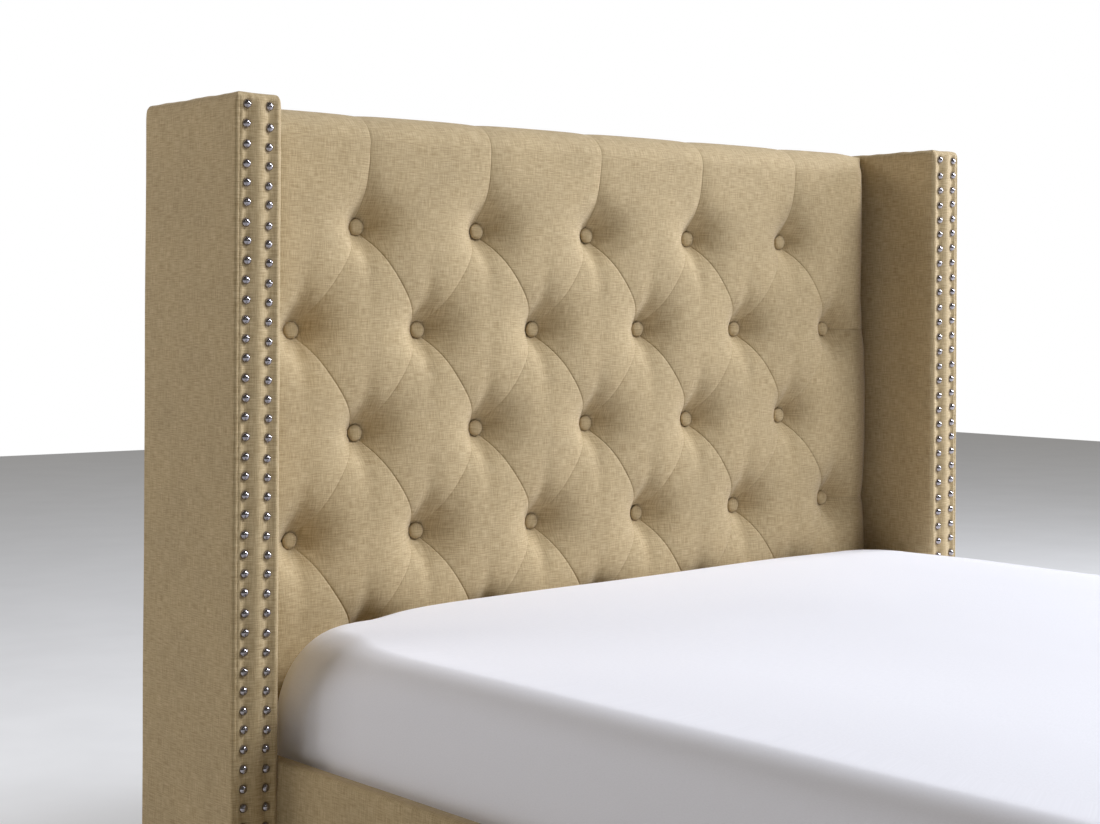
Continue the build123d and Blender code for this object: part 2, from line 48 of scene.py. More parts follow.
SIDES = (("left", -1), ("right", 1))

# Button grid
BUTTON_PITCH = 0.263
ROW_PITCH = 0.179
FIRST_ROW = 1.253
ROW_COUNT = 5
EVEN_ROW_BUTTONS = 5
BUTTON_RADIUS = 0.0145
BUTTON_HEIGHT = 0.0075
BUTTON_Y = 1.0093
BUTTON_SUNK = 0.0008
BUTTON_TILT = 0.07
BUTTON_WOBBLE = 0.012
BUTTON_LOBES = 5
BUTTON_FACETS = 36
BUTTON_SEED = 5
# Shares of the radius and of the height, from rim to tip
BUTTON_PROFILE = (
    (0.6, -0.1), (0.86, -0.05), (0.97, 0.1), (1.0, 0.25), (0.985, 0.42),
    (0.9, 0.64), (0.75, 0.82), (0.55, 0.93), (0.3, 0.985),
)
LAST_ROW = FIRST_ROW - (ROW_COUNT - 1) * ROW_PITCH
END_BUTTON_X = EVEN_ROW_BUTTONS / 2 * BUTTON_PITCH

# Tufted pad
CREST = 0.050
FUNNEL_START = 0.011
FUNNEL_REACH = 0.047
VALLEY_SHARE = 0.42
VALLEY_WIDTH = 0.015
VALLEY_LENGTH = 0.045
BROAD_DIP = 0.003
BROAD_REACH = 0.016
CREASE_DEPTH = 0.0014
FAINT_CREASE_DEPTH = 0.0006
CREASE_REACH = 0.0007
TOP_ROLL = 0.046
TOP_SWELL = 0.0055
TOP_FADING = 0.75
TOP_PLEAT_DIP = -0.003
BOTTOM_ROLL = 0.030
SIDE_ROLL = 0.090
EDGE_RISE = -0.006
SCALLOP = 0.011
SCALLOP_REACH = 0.04
UPPER_EDGE_DIP = 0.018
UPPER_EDGE_REACH = 0.07
PUCKER_COUNT = 9
PUCKER_HEIGHT = 0.0007
PUCKER_START = 0.01
PUCKER_REACH = 0.022
PLEAT_REACH = 0.028
PAD_UNEVEN = 0.0012
PAD_UNEVEN_SIZE = 0.16
PAD_DRIFT = 0.0022
PAD_DRIFT_SIZE = 0.19
PAD_DRIFT_EDGE = 0.05
FOLD_GAP = 0.0006
PANEL_COLUMNS = 28
PANEL_GRADING = 0.93
LOW_ROWS = 16
BAND_ROWS = 44
BAND_GRADING = 0.75
HIGH_ROWS = 30
BOTTOM_ROLL_ROWS = 8
TOP_ROLL_ROWS = 16
BACK_SHARES = (0.15, 0.4, 0.7, 0.92, 1.0)
BACK_ROUND = 0.004
BACK_HEM = 0.015
BACK_HEM_END = 0.016
BACK_FOOT = 0.01

# Wings and nails
WING_FRONT = 0.8203
WING_CORNER = 0.005
WING_TOP_ROUND = 0.011
WING_TURN_STEP = 10
WING_TOP_CROWN = 0.0012
WING_TOP_SHARES = (0.25, 0.5, 0.75, 0.95)
WING_FOOT_ROUND = 0.006
# Height over the floor and inset of the lowest rings
WING_FOOT_RINGS = ((0, WING_FOOT_ROUND), (0, 0.003), (0.001, 0.001), (0.003, 0))
WING_STEP = 0.0034
WING_SIDE_STEPS = (0.008, 0.01, 0.006, 0.0009)
WING_CORNER_STEPS = 6
WING_LEAST_CORNER = 0.0003
WING_BULGE = 0.0042
WING_BULGE_WIDTH = 0.0125
WING_EDGE_ROLL = 0.0022
WING_EDGE_INSET = 0.0075
WING_EDGE_WIDTH = 0.005
SEAM_ROLL = 0.0008
SEAM_ROLL_INSET = 0.0115
SEAM_ROLL_WIDTH = 0.003
FRONT_UNEVEN_SHARE = 0.25
FRONT_UNEVEN_SIZE = 0.11
FRONT_END = 0.004
FRONT_FADE = 0.012
PANEL_SWELL = 0.0009
PANEL_SIZE = 0.33
INNER_SINK = 0.0007
INNER_UNEVEN = 0.0006
INNER_SIZE = 0.21
BACK_SEAM = 0.0009
BACK_SEAM_INSET = 0.012
BACK_SEAM_WIDTH = 0.0012
TOP_UNEVEN = 0.0017
TOP_UNEVEN_SIZE = 0.05
TOP_UNEVEN_DEPTH = 0.02
WING_LIP = 0.0042
WING_LIP_SHAPE = 0.6
WING_LIP_REACH = 0.085
WING_TOP_SOFT = 0.0035
WING_TOP_REACH = 0.026
SEAM_DEPTH = 0.0014
SEAM_INSET = 0.0065
SEAM_WIDTH = 0.0009
STITCH_PITCH = 0.0042
STITCH_SHARE = 0.3
NAIL_PITCH = 0.0306
NAIL_INSET = 0.0193
NAIL_INNER_INSET = 0.0225
NAIL_TOP = 0.020
NAIL_FOOT = 0.024
NAIL_JITTER = 0.0007
INNER_ROW_DROP = 0.004
NAIL_GROOVE = 0.0018
NAIL_GROOVE_WIDTH = 0.0055
NAIL_DIMPLE = 0.0014
NAIL_DIMPLE_REACH = 0.0085
NAIL_NEAR = 0.03
NAIL_RADIUS = 0.0074
NAIL_HEIGHT = 0.0082
NAIL_SUNK = 0.0022
NAIL_TILT = 0.045
NAIL_FACETS = 24
NAIL_PLACE_SEEDS = {-1: 21, 1: 22}
NAIL_TILT_SEED = 61
# Shares of the radius and of the height, from rim to tip
NAIL_PROFILE = (
    (0.96, -0.1), (1.0, 0.04), (0.99, 0.2), (0.93, 0.42),
    (0.8, 0.64), (0.62, 0.81), (0.4, 0.93), (0.18, 0.985),
)

# Covers of the long boards
SLEEVE_STEP = 0.011
SLEEVE_CORNER_STEPS = 7
SLEEVE_END_ANGLES = (90, 60, 30)
SLEEVE_SWELL_SHAPE = 0.7
SLEEVE_UNEVEN = 0.0007
SLEEVE_UNEVEN_SIZE = 0.19

# Mattress, sheet and slats
MATTRESS_WIDTH = 1.524
MATTRESS_CORNER = 0.090
MATTRESS_CROWN = 0.006
TOP_DRAW = 0.042
TOP_DROP = 0.060
TOP_STEP = 0.014
CROWN_REACH = 0.24
RING_GAP = 0.0004
LEAST_CORNER = 0.001
BED_STEPS = (0.01, 0.01, 0.01, 0.01)
BED_CORNER_STEPS = 22
SIDE_RINGS = 20
EDGE_TURN_STEP = 6
FOOT_TURN_STEP = 15
BOTTOM_STEP = 0.012
BOTTOM_FIRST = 0.01
BOTTOM_DRAW = 0.020
BOTTOM_DROP = 0.026
CORNER_REACH = 0.15
CORNER_DRAW = 0.050
CORNER_DROP = 0.090
CORNER_PINCH = 0.009
MATTRESS_CLEAR = 0.006
MATTRESS_SINK = 0.0005
TAPE_HEIGHT = 0.020
TAPE_WIDTH = 0.004
TAPE_RISE = 0.0006
# How strongly each corner is drawn in, by the signs of X and Y
CORNER_SHARES = {(-1, 1): 1.15, (1, 1): 0.3, (-1, -1): 0.8, (1, -1): 0.8}
SHEET_GROWTH = 0.0013
SHEET_TUCK = 0.110
SHEET_LEAN = 0.020
LEAN_HEIGHT = 0.2
SHEET_TIGHT = 0.02
SHEET_EASE = 0.16
SHEET_TURN = 0.03
SHEET_WAVE = 0.0016
SHEET_WAVE_SIZE = 0.5
SHEET_WAVE_START = 0.02
SHEET_WAVE_REACH = 0.25
GATHER_PITCH = 0.075
GATHER_DEPTH = 0.008
GATHER_REACH = 0.16
GATHER_SIZE = 0.09
GATHER_STRETCH = 0.25
SIDE_FOLD_Y = 0.735
SIDE_FOLD_WIDTH = 0.020
SIDE_FOLD_REACH = 0.13
SIDE_FOLD_DEPTH = 0.009
SIDE_FOLD_FOOT = 0.40
SIDE_FOLD_FADE = 0.05
SIDE_WAY = 0.7
SHEET_SLIP = 0.004
SIDE_SLACK = 0.004
SIDE_SLACK_SIZE = 0.42

# Dust cover
DUST_EDGE = 0.002
DUST_HEM = 0.020
DUST_STEP = 0.014
DUST_GAP = 0.0002
DUST_LAYER = 0.0005
# Share of a layer that lies under the cover at each step from the hem's end to its fold
HEM_LAYERS = (1, 1, 0.8)
STAPLE_PITCH = 0.045
STAPLE_PULL = 0.0003
STAPLE_REACH = 0.05
DUST_SAG = 0.0006
DUST_SAG_SIZE = 0.3
DUST_SAG_EDGE = 0.08

# Webbing
SLAT_COUNT = 13
WEBBING_WIDTH = 0.025
WEBBING_THICKNESS = 0.0009
WEBBING_GAP = 0.0002
WEBBING_STEP = 0.006
WEBBING_SAG = 0.003

# Finishes
LINEN_LIGHT = (0.567, 0.440, 0.250)
LINEN_DARK = (0.337, 0.237, 0.104)
LINEN_PITCH = 0.0009
SHEET_COLOUR = (0.83, 0.825, 0.86)
SHEET_PITCH = 0.0006
TICKING_COLOUR = (0.72, 0.71, 0.68)
TICKING_PITCH = 0.0012
DUST_COLOUR = (0.012, 0.012, 0.013)
DUST_PITCH = 0.0016
WEBBING_COLOUR = (0.55, 0.5, 0.42)
WEBBING_PITCH = 0.0022
PEWTER_DARK = (0.28, 0.265, 0.285)
PEWTER_LIGHT = (0.43, 0.41, 0.43)
PINE_LIGHT = (0.60, 0.42, 0.22)
PINE_DARK = (0.45, 0.28, 0.13)
PLYWOOD_LIGHT = (0.55, 0.38, 0.20)
PLYWOOD_DARK = (0.42, 0.27, 0.14)
PLYWOOD_SHARE = 0.6
STAIN_LIGHT = (0.030, 0.016, 0.009)
STAIN_DARK = (0.014, 0.008, 0.005)
STEEL_COLOUR = (0.012, 0.012, 0.0125)
ZINC_COLOUR = (0.50, 0.51, 0.52)
PLASTIC_COLOUR = (0.016, 0.016, 0.016)
# Noise scales: small along the grain or thread, large across it
ALONG_GRAIN = 6
ACROSS_GRAIN = 90
STAIN_GRAIN = (120, 120, 7)
PORES_PER_RING = 6
SLUBS_UP = (640, 42, 1)
SLUBS_ACROSS = (42, 640, 1)
SPECKS = (900, 900, 1)
CLOUDS = (9, 9, 1)
COTTON_NAP = (260, 260, 1)
PEWTER_GRAIN = (420, 420, 420)
COAT_GRAIN = (900, 900, 900)
COAT_PATCHES = (25, 25, 25)
PATCH_SHARE = 0.8
# Parts of the noise's range that a colour blend covers
NOISE_SPAN = (0.3, 0.7)
GRAIN_SPAN = (0.35, 0.65)
SLUB_SPAN = (0.37, 0.63)

# Light and floor
WORLD_LIGHT = 0.12
WORLD_TINT = (1.0, 0.91, 0.78)
DAYLIGHT = (0.87, 0.91, 1.0)
# Place, target, size, watts and colour of each lamp
LAMPS = {
    "key": ((4.4, -3.7, 7.7), (0.1, 1.0, 1.0), 3.0, 860, DAYLIGHT),
    "side": ((5.2, -0.6, 2.6), (-0.2, 0.95, 1.0), 1.6, 240, DAYLIGHT),
    "fill": ((-3.3, 3.0, 3.0), (-0.8, 0.4, 0.7), 2.0, 58, (1.0, 0.96, 0.94)),
    "catch": ((-2.0, -3.0, 3.0), (-0.7, 0.8, 0.9), 0.25, 4, (1, 1, 1)),
}
FLOOR_GLOW = 0.15
FLOOR_TONES = (0.72, 0.76)
FLOOR_REACH = 12

# Camera, fitted to the button grid and the wing corners
CAMERA_PLACE = (-2.448, -1.879, 1.113)
CAMERA_YAW = math.radians(39.28)
CAMERA_ROLL = -0.0058
FOCAL_PIXELS = 1981.1
HORIZON_PIXEL = 308.7
PHOTO_WIDTH = 1100
PHOTO_HEIGHT = 824


# Helpers

def ripple(a, b, size, seed, waves=7):
    """Smooth unevenness from -1 to 1: a sum of waves in seeded directions."""
    rng = np.random.default_rng(seed)
    total = 0
    for i in range(waves):
        angle = rng.uniform(0, math.pi)
        length = size * rng.uniform(0.7, 1.6)
        phase = rng.uniform(0, 2 * math.pi)
        total = total + np.sin((a * math.cos(angle) + b * math.sin(angle)) * 2 * math.pi / length + phase)
    return total / waves


def hill(value, centre, width):
    """1 at the centre, falling smoothly to 0 on both sides."""
    return np.exp(-((value - centre) / width) ** 2)


def graded(count, end_share):
    """Shares from 0 to 1, closer together at both ends."""
    even = np.linspace(0, 1, count + 1)
    return end_share * (1 - np.cos(math.pi * even)) / 2 + (1 - end_share) * even


def finish_piece(piece, material, node=None, body="bed"):
    piece.data.materials.clear()
    piece.data.materials.append(material)
    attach(piece, body)
    if node:
        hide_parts(*([node] if isinstance(node, str) else node))
    return piece


def mesh_piece(name, places, faces, corner_uv=None, smooth=True):
    mesh = bpy.data.meshes.new(name)
    mesh.from_pydata([tuple(p) for p in places], [], [tuple(f) for f in faces])
    if corner_uv is not None:
        layer = mesh.uv_layers.new(name="cloth")
        layer.data.foreach_set("uv", np.asarray(corner_uv, np.float32).ravel())
    mesh.polygons.foreach_set("use_smooth", [smooth] * len(mesh.polygons))
    form = bmesh.new()
    form.from_mesh(mesh)
    bmesh.ops.recalc_face_normals(form, faces=form.faces)
    form.to_mesh(mesh)
    form.free()
    mesh.update()
    piece = bpy.data.objects.new(name, mesh)
    bpy.context.scene.collection.objects.link(piece)
    return piece


def flat_map(places, faces, a, b):
    """A map in metres, straight along two axes, for every corner of every face."""
    return [(places[v][a], places[v][b]) for face in faces for v in face]


def tube_piece(name, rings, lengths, ups, caps=("first", "last")):
    """A skin over closed rings of points, with a map in metres: round by lengths, along by ups."""
    rings = np.asarray(rings, float)
    count, around = rings.shape[:2]
    index = np.arange(count * around).reshape(count, around)
    after = np.roll(index, -1, axis=1)
    quads = np.stack([index[:-1], after[:-1], after[1:], index[1:]], -1).reshape(-1, 4)
    u = np.asarray(lengths, float)
    low = np.broadcast_to(u[:-1], (count - 1, around))
    high = np.broadcast_to(u[1:], (count - 1, around))
    v = np.asarray(ups, float)
    start = np.broadcast_to(v[:-1, None], (count - 1, around))
    end = np.broadcast_to(v[1:, None], (count - 1, around))
    uv = np.stack([low, start, high, start, high, end, low, end], -1).reshape(-1, 2)
    faces = [tuple(f) for f in quads]
    for cap, ring, way in (("first", 0, -1), ("last", count - 1, 1)):
        if cap in caps:
            faces.append(tuple(index[ring][::way]))
            flat = rings[ring][::way]
            spread = flat.max(0) - flat.min(0)
            keep = [axis for axis in range(3) if axis != int(np.argmin(spread))]
            uv = np.concatenate([uv, flat[:, keep]])
    return mesh_piece(name, rings.reshape(-1, 3), faces, uv)


def outline_lengths(ring):
    """Length along a closed ring up to each of its points, and all round it."""
    closed = np.vstack([ring, ring[:1]])
    return np.concatenate([[0], np.cumsum(np.linalg.norm(np.diff(closed, axis=0), axis=1))])


def ring_frame(half_a, half_b, radius, steps, corner_steps):
    """Points round a rounded rectangle: shares of its straight sides, and outward ways."""
    shares = []
    ways = []
    corners = ((1, -1, -90), (1, 1, 0), (-1, 1, 90), (-1, -1, 180))
    for i, (a, b, start) in enumerate(corners):
        for j in range(corner_steps + 1):
            angle = math.radians(start + 90 * j / corner_steps)
            shares.append((a, b))
            ways.append((math.cos(angle), math.sin(angle)))
        next_a, next_b, next_start = corners[(i + 1) % 4]
        length = 2 * ((half_b if a == next_a else half_a) - radius)
        pieces = max(1, round(length / steps[i]))
        for j in range(1, pieces):
            shares.append((a + j / pieces * (next_a - a), b + j / pieces * (next_b - b)))
            ways.append(ways[-1])
    return np.array(shares), np.array(ways)


# Materials

def add(tree, kind, values=None, **settings):
    node = tree.nodes.new("ShaderNode" + kind)
    for key, value in settings.items():
        setattr(node, key, value)
    for key, value in (values or {}).items():
        if isinstance(value, bpy.types.NodeSocket):
            tree.links.new(value, node.inputs[key])
        else:
            node.inputs[key].default_value = value
    return node


def material(name, roughness=0.6, **settings):
    mat = bpy.data.materials.new(name)
    mat.use_nodes = True
    shader = mat.node_tree.nodes["Principled BSDF"]
    shader.inputs["Roughness"].default_value = roughness
    for key, value in settings.items():
        shader.inputs[key.replace("_", " ")].default_value = value
    return mat, mat.node_tree, shader


def noise(tree, coordinates, scale, detail=3.0, roughness=0.55):
    stretched = add(tree, "Mapping", {"Vector": coordinates, "Scale": scale})
    values = {"Vector": stretched.outputs["Vector"], "Scale": 1.0, "Detail": detail, "Roughness": roughness}
    return add(tree, "TexNoise", values).outputs["Fac"]


def math_node(tree, operation, a, b=0.0):
    return add(tree, "Math", {0: a, 1: b}, operation=operation).outputs[0]


def ramp(tree, value, span, to=(0.0, 1.0)):
    """Map a value's span onto another one."""
    values = {"Value": value, "From Min": span[0], "From Max": span[1], "To Min": to[0], "To Max": to[1]}
    return add(tree, "MapRange", values).outputs["Result"]


def weighted(tree, first, first_weight, second, second_weight):
    """Two values added up by their weights."""
    first_part = math_node(tree, "MULTIPLY", first, first_weight)
    second_part = math_node(tree, "MULTIPLY", second, second_weight)
    return math_node(tree, "ADD", first_part, second_part)


def blend_base(tree, shader, factor, first, second):
    """Set the base colour to a blend of two colours."""
    blend = add(tree, "Mix", {"Factor": factor, 6: (*first, 1), 7: (*second, 1)}, data_type="RGBA")
    tree.links.new(blend.outputs[2], shader.inputs["Base Color"])
    return blend.outputs[2]


def shade_base(tree, shader, colour, shade):
    """Set the base colour to a colour made a little darker or lighter by shade."""
    shaded = add(tree, "VectorMath", {0: colour, "Scale": shade}, operation="SCALE").outputs[0]
    tree.links.new(shaded, shader.inputs["Base Color"])


def emboss(tree, shader, height, strength, distance):
    bump = add(tree, "Bump", {"Height": height, "Strength": strength, "Distance": distance})
    tree.links.new(bump.outputs["Normal"], shader.inputs["Normal"])


def threads(tree, coordinates, pitch):
    """A plain weave: the height of crossing threads, from 0 to 1."""
    split = add(tree, "SeparateXYZ", {0: coordinates})
    waves = []
    for axis in ("X", "Y"):
        turned = math_node(tree, "MULTIPLY", split.outputs[axis], math.pi / pitch)
        waves.append(math_node(tree, "ABSOLUTE", math_node(tree, "SINE", turned)))
    return math_node(tree, "MULTIPLY", waves[0], waves[1])


def linen():
    """Heathered linen: slubs both ways over a plain weave."""
    mat, tree, shader = material("linen", 0.82, Sheen_Weight=0.15, Sheen_Roughness=0.45)
    place = add(tree, "TexCoord").outputs["UV"]
    up = noise(tree, place, SLUBS_UP, detail=1.0)
    across = noise(tree, place, SLUBS_ACROSS, detail=1.0)
    speck = noise(tree, place, SPECKS, detail=1.0)
    cloud = noise(tree, place, CLOUDS)
    slubs = weighted(tree, up, 0.45, across, 0.55)
    tone = weighted(tree, slubs, 0.78, speck, 0.22)
    colour = blend_base(tree, shader, ramp(tree, tone, SLUB_SPAN), LINEN_DARK, LINEN_LIGHT)
    shade_base(tree, shader, colour, ramp(tree, cloud, NOISE_SPAN, (0.95, 1.04)))
    weave = threads(tree, place, LINEN_PITCH)
    emboss(tree, shader, weighted(tree, tone, 1.0, weave, 0.35), strength=0.6, distance=0.0006)
    return mat


def cotton(name, colour, pitch):
    """Plain woven cotton: its threads show by their pitch."""
    mat, tree, shader = material(name, 0.75, Sheen_Weight=0.2, Sheen_Roughness=0.6)
    place = add(tree, "TexCoord").outputs["UV"]
    soft = noise(tree, place, COTTON_NAP)
    shade_base(tree, shader, colour, ramp(tree, soft, NOISE_SPAN, (0.97, 1.02)))
    weave = threads(tree, place, pitch)
    emboss(tree, shader, weighted(tree, weave, 0.4, soft, 1.0), strength=0.25, distance=0.0005)
    return mat


def pewter():
    """Dark polished nailheads with a faint grain."""
    mat, tree, shader = material("pewter", 0.14, Metallic=1.0)
    place = add(tree, "TexCoord").outputs["Object"]
    grain = noise(tree, place, PEWTER_GRAIN)
    blend_base(tree, shader, ramp(tree, grain, GRAIN_SPAN), PEWTER_DARK, PEWTER_LIGHT)
    tree.links.new(ramp(tree, grain, NOISE_SPAN, (0.09, 0.2)), shader.inputs["Roughness"])
    return mat


def wood(name, light, dark, stretch, roughness=0.55):
    """Wood grain along one axis: stretch is small along it and large across it."""
    mat, tree, shader = material(name, roughness)
    place = add(tree, "TexCoord").outputs["Object"]
    rings = noise(tree, place, stretch, detail=4.0, roughness=0.6)
    pores = noise(tree, place, tuple(PORES_PER_RING * s for s in stretch), detail=2.0)
    grain = weighted(tree, rings, 0.75, pores, 0.25)
    blend_base(tree, shader, ramp(tree, grain, GRAIN_SPAN), dark, light)
    worn = ramp(tree, pores, NOISE_SPAN, (roughness - 0.08, roughness + 0.12))
    tree.links.new(worn, shader.inputs["Roughness"])
    emboss(tree, shader, grain, strength=0.3, distance=0.0006)
    return mat


def coated(name, colour, roughness, metallic=0.0):
    """Moulded plastic, powder coat or plated steel, told apart by colour and roughness."""
    mat, tree, shader = material(name, roughness, Metallic=metallic)
    place = add(tree, "TexCoord").outputs["Object"]
    grain = noise(tree, place, COAT_GRAIN, detail=2.0)
    patches = noise(tree, place, COAT_PATCHES)
    darker = tuple(PATCH_SHARE * c for c in colour)
    blend_base(tree, shader, ramp(tree, patches, NOISE_SPAN), darker, colour)
    worn = ramp(tree, patches, NOISE_SPAN, (roughness - 0.07, roughness + 0.07))
    tree.links.new(worn, shader.inputs["Roughness"])
    emboss(tree, shader, grain, strength=0.2, distance=0.0002)
    return mat


linen_mat = linen()
sheet_mat = cotton("sheet_cotton", SHEET_COLOUR, SHEET_PITCH)
ticking_mat = cotton("ticking", TICKING_COLOUR, TICKING_PITCH)
dust_mat = cotton("dust_cover", DUST_COLOUR, DUST_PITCH)
webbing_mat = cotton("webbing", WEBBING_COLOUR, WEBBING_PITCH)
pewter_mat = pewter()


# Tufted pad

def row_height(row):
    return FIRST_ROW - row * ROW_PITCH


def row_places(row):
    """X of each button in one row."""
    count = EVEN_ROW_BUTTONS + row % 2
    return [(i - (count - 1) / 2) * BUTTON_PITCH for i in range(count)]


def button_places():
    return [(x, row_height(row)) for row in range(ROW_COUNT) for x in row_places(row)]


def inner_share(x, half_width, reach):
    """0 at the pad's sides, rising to 1 at a reach from them."""
    return np.clip((half_width - np.abs(x)) / reach, 0, 1)


def pad_folds(half_width, low, high):
    """Fold segments as start, end, crease depth and fading, each from an upper or inner button."""
    folds = []
    for row in range(ROW_COUNT - 1):
        for x in row_places(row):
            for way, depth in ((1, CREASE_DEPTH), (-1, FAINT_CREASE_DEPTH)):
                end_x = x + way * BUTTON_PITCH / 2
                if abs(end_x) < END_BUTTON_X + BUTTON_RADIUS:
                    folds.append((x, row_height(row), end_x, row_height(row + 1), depth, 0.0))
    for x in row_places(0):
        folds.append((x, FIRST_ROW, x, high, CREASE_DEPTH, TOP_FADING))
        folds.append((x, LAST_ROW, x, low, CREASE_DEPTH, 0.0))
    for name, side in SIDES:
        for row in range(1, ROW_COUNT, 2):
            height = row_height(row)
            folds.append((side * END_BUTTON_X, height, side * half_width, height, CREASE_DEPTH, 0.0))
    return folds


def fold_marks(x, z, half_width, low, high):
    """How strongly the broad valleys and the sharp creases of the folds show at x and z."""
    broad = np.zeros_like(x)
    crease = np.zeros_like(x)
    for x1, z1, x2, z2, depth, fading in pad_folds(half_width, low, high):
        run = math.hypot(x2 - x1, z2 - z1)
        share = np.clip(((x - x1) * (x2 - x1) + (z - z1) * (z2 - z1)) / run ** 2, 0, 1)
        away = np.hypot(x - x1 - share * (x2 - x1), z - z1 - share * (z2 - z1))
        left = 1 - fading * share
        broad = np.maximum(broad, left * np.exp(-away / BROAD_REACH))
        crease = np.maximum(crease, left * depth * np.exp(-away / CREASE_REACH))
    return broad, crease


def pad_rise(x, z, half_width, low, high):
    """How far the pad's front stands in front of the buttons at x and z."""
    fullness = np.ones_like(x)
    puckers = np.zeros_like(x)
    for number, (bx, bz) in enumerate(button_places()):
        away = np.hypot(x - bx, z - bz)
        fullness *= np.tanh(np.maximum(away - FUNNEL_START, 0) / FUNNEL_REACH)
        valley = hill(x, bx, VALLEY_WIDTH) * np.exp(-np.abs(z - bz) / VALLEY_LENGTH)
        fullness *= 1 - VALLEY_SHARE * valley
        wave = PUCKER_HEIGHT * np.sin(PUCKER_COUNT * np.arctan2(z - bz, x - bx) + number)
        puckers += wave * np.exp(-away / PUCKER_REACH) * (away > PUCKER_START)
    broad, crease = fold_marks(x, z, half_width, low, high)
    rise = CREST * fullness + puckers - BROAD_DIP * broad - crease
    pleat_away = np.min([np.abs(z - row_height(row)) for row in range(1, ROW_COUNT, 2)], axis=0)
    edge = EDGE_RISE + SCALLOP * (1 - np.exp(-pleat_away / SCALLOP_REACH))
    edge = edge - UPPER_EDGE_DIP * np.clip((z - row_height(1)) / UPPER_EDGE_REACH, 0, 1)
    roll = np.sin(math.pi / 2 * inner_share(x, half_width, SIDE_ROLL))
    rise = edge + (rise - edge) * roll
    return rise + PAD_UNEVEN * ripple(x, z, PAD_UNEVEN_SIZE, seed=3) * roll


def pad_columns(z, half_width):
    """X of every column at height z: panels between folds that zigzag from button to button."""
    rows_down = min(max((FIRST_ROW - z) / ROW_PITCH, 0), ROW_COUNT - 1)
    row = min(int(rows_down), ROW_COUNT - 2)
    share = rows_down - row
    spread = share if row % 2 == 0 else 1 - share
    reach = FOLD_GAP + spread * (BUTTON_PITCH / 2 - 2 * FOLD_GAP)
    folds = [-half_width]
    for centre in row_places(0):
        folds += [centre - reach, centre + reach]
    folds.append(half_width)
    columns = [folds[0]]
    for start, end in zip(folds, folds[1:]):
        columns += list(start + (end - start) * graded(PANEL_COLUMNS, PANEL_GRADING)[1:])
    return np.array(columns)


def pad_stations(bottom, top):
    """Every row of the pad's front: height, angle round an edge, and -1, 0 or 1 at foot, face or top."""
    low_edge = bottom + BOTTOM_ROLL
    high_edge = top - TOP_ROLL
    heights = list(np.linspace(low_edge, LAST_ROW, LOW_ROWS))
    for band in range(ROW_COUNT - 1):
        heights += list(LAST_ROW + (band + graded(BAND_ROWS, BAND_GRADING)[1:]) * ROW_PITCH)
    heights += list(np.linspace(FIRST_ROW, high_edge, HIGH_ROWS)[1:])
    stations = [(low_edge, math.radians(turn), -1) for turn in np.linspace(90, 0, BOTTOM_ROLL_ROWS)[:-1]]
    stations += [(z, 0.0, 0) for z in heights]
    stations += [(high_edge, math.radians(turn), 1) for turn in np.linspace(0, 90, TOP_ROLL_ROWS)[1:]]
    return stations


def pad_front(half_width, bottom, top, back):
    """Rows of points over the pad's front, from its lower to its upper edge."""
    rows = []
    for z, angle, way in pad_stations(bottom, top):
        x = pad_columns(z, half_width)
        height = np.full_like(x, z)
        rise = pad_rise(x, height, half_width, bottom, top)
        drift = PAD_DRIFT * ripple(x, height, PAD_DRIFT_SIZE, seed=11)
        drift = drift * inner_share(x, half_width, PAD_DRIFT_EDGE)
        pleat = np.max([np.exp(-np.abs(x - centre) / PLEAT_REACH) for centre in row_places(0)], axis=0)
        swell = TOP_SWELL * inner_share(x, half_width, SIDE_ROLL) - (TOP_SWELL + TOP_PLEAT_DIP) * pleat
        radius = TOP_ROLL + swell if way > 0 else BOTTOM_ROLL
        y = back - (back - BUTTON_Y + rise) * math.cos(angle)
        rows.append(np.stack([x + drift, y, height + way * radius * math.sin(angle)], -1))
    return rows


def pad_back(last, bottom, top, back, frame_back):
    """Rows from the upper edge to the back of the frame, down behind it and along the plywood."""
    rows = []
    for share in BACK_SHARES:
        row = last.copy()
        row[:, 1] = back + share * (frame_back - BACK_ROUND - back)
        row[:, 2] = last[:, 2] + (top - last[:, 2]) * share
        rows.append(row)
    corners = ((frame_back, top - BACK_ROUND), (frame_back, top - BACK_HEM),
               (back, top - BACK_HEM_END), (back, bottom + BACK_FOOT))
    for y, z in corners:
        row = last.copy()
        row[:, 1] = y
        row[:, 2] = z
        rows.append(row)
    return rows


def tufted_pad():
    """One closed form: rows run round it, columns across it, with a flat end at either side."""
    low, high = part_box("headboard_tufted_pad")
    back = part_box("headboard_plywood")[0].y
    rows = pad_front(high.x, low.z, high.z, back)
    rows += pad_back(rows[-1], low.z, high.z, back, high.y)
    rings = np.array(rows)
    count, across = rings.shape[:2]
    ups = outline_lengths(rings[:, across // 2])
    index = np.arange(count * across).reshape(count, across)
    after = np.roll(index, -1, axis=0)
    quads = np.stack([index[:, :-1], index[:, 1:], after[:, 1:], after[:, :-1]], -1)
    faces = [tuple(f) for f in quads.reshape(-1, 4)]
    u = np.concatenate([rings[:, :, 0], rings[:1, :, 0]])
    start = np.broadcast_to(ups[:-1, None], (count, across - 1))
    end = np.broadcast_to(ups[1:, None], (count, across - 1))
    uv = [u[:-1, :-1], start, u[:-1, 1:], start, u[1:, 1:], end, u[1:, :-1], end]
    uv = np.stack(uv, -1).reshape(-1, 2)
    for column, way in ((0, 1), (across - 1, -1)):
        faces.append(tuple(index[::way, column]))
        uv = np.concatenate([uv, rings[::way, column][:, 1:]])
    piece = mesh_piece("tufted_pad", rings.reshape(-1, 3), faces, uv)
    finish_piece(piece, linen_mat, "headboard_tufted_pad")


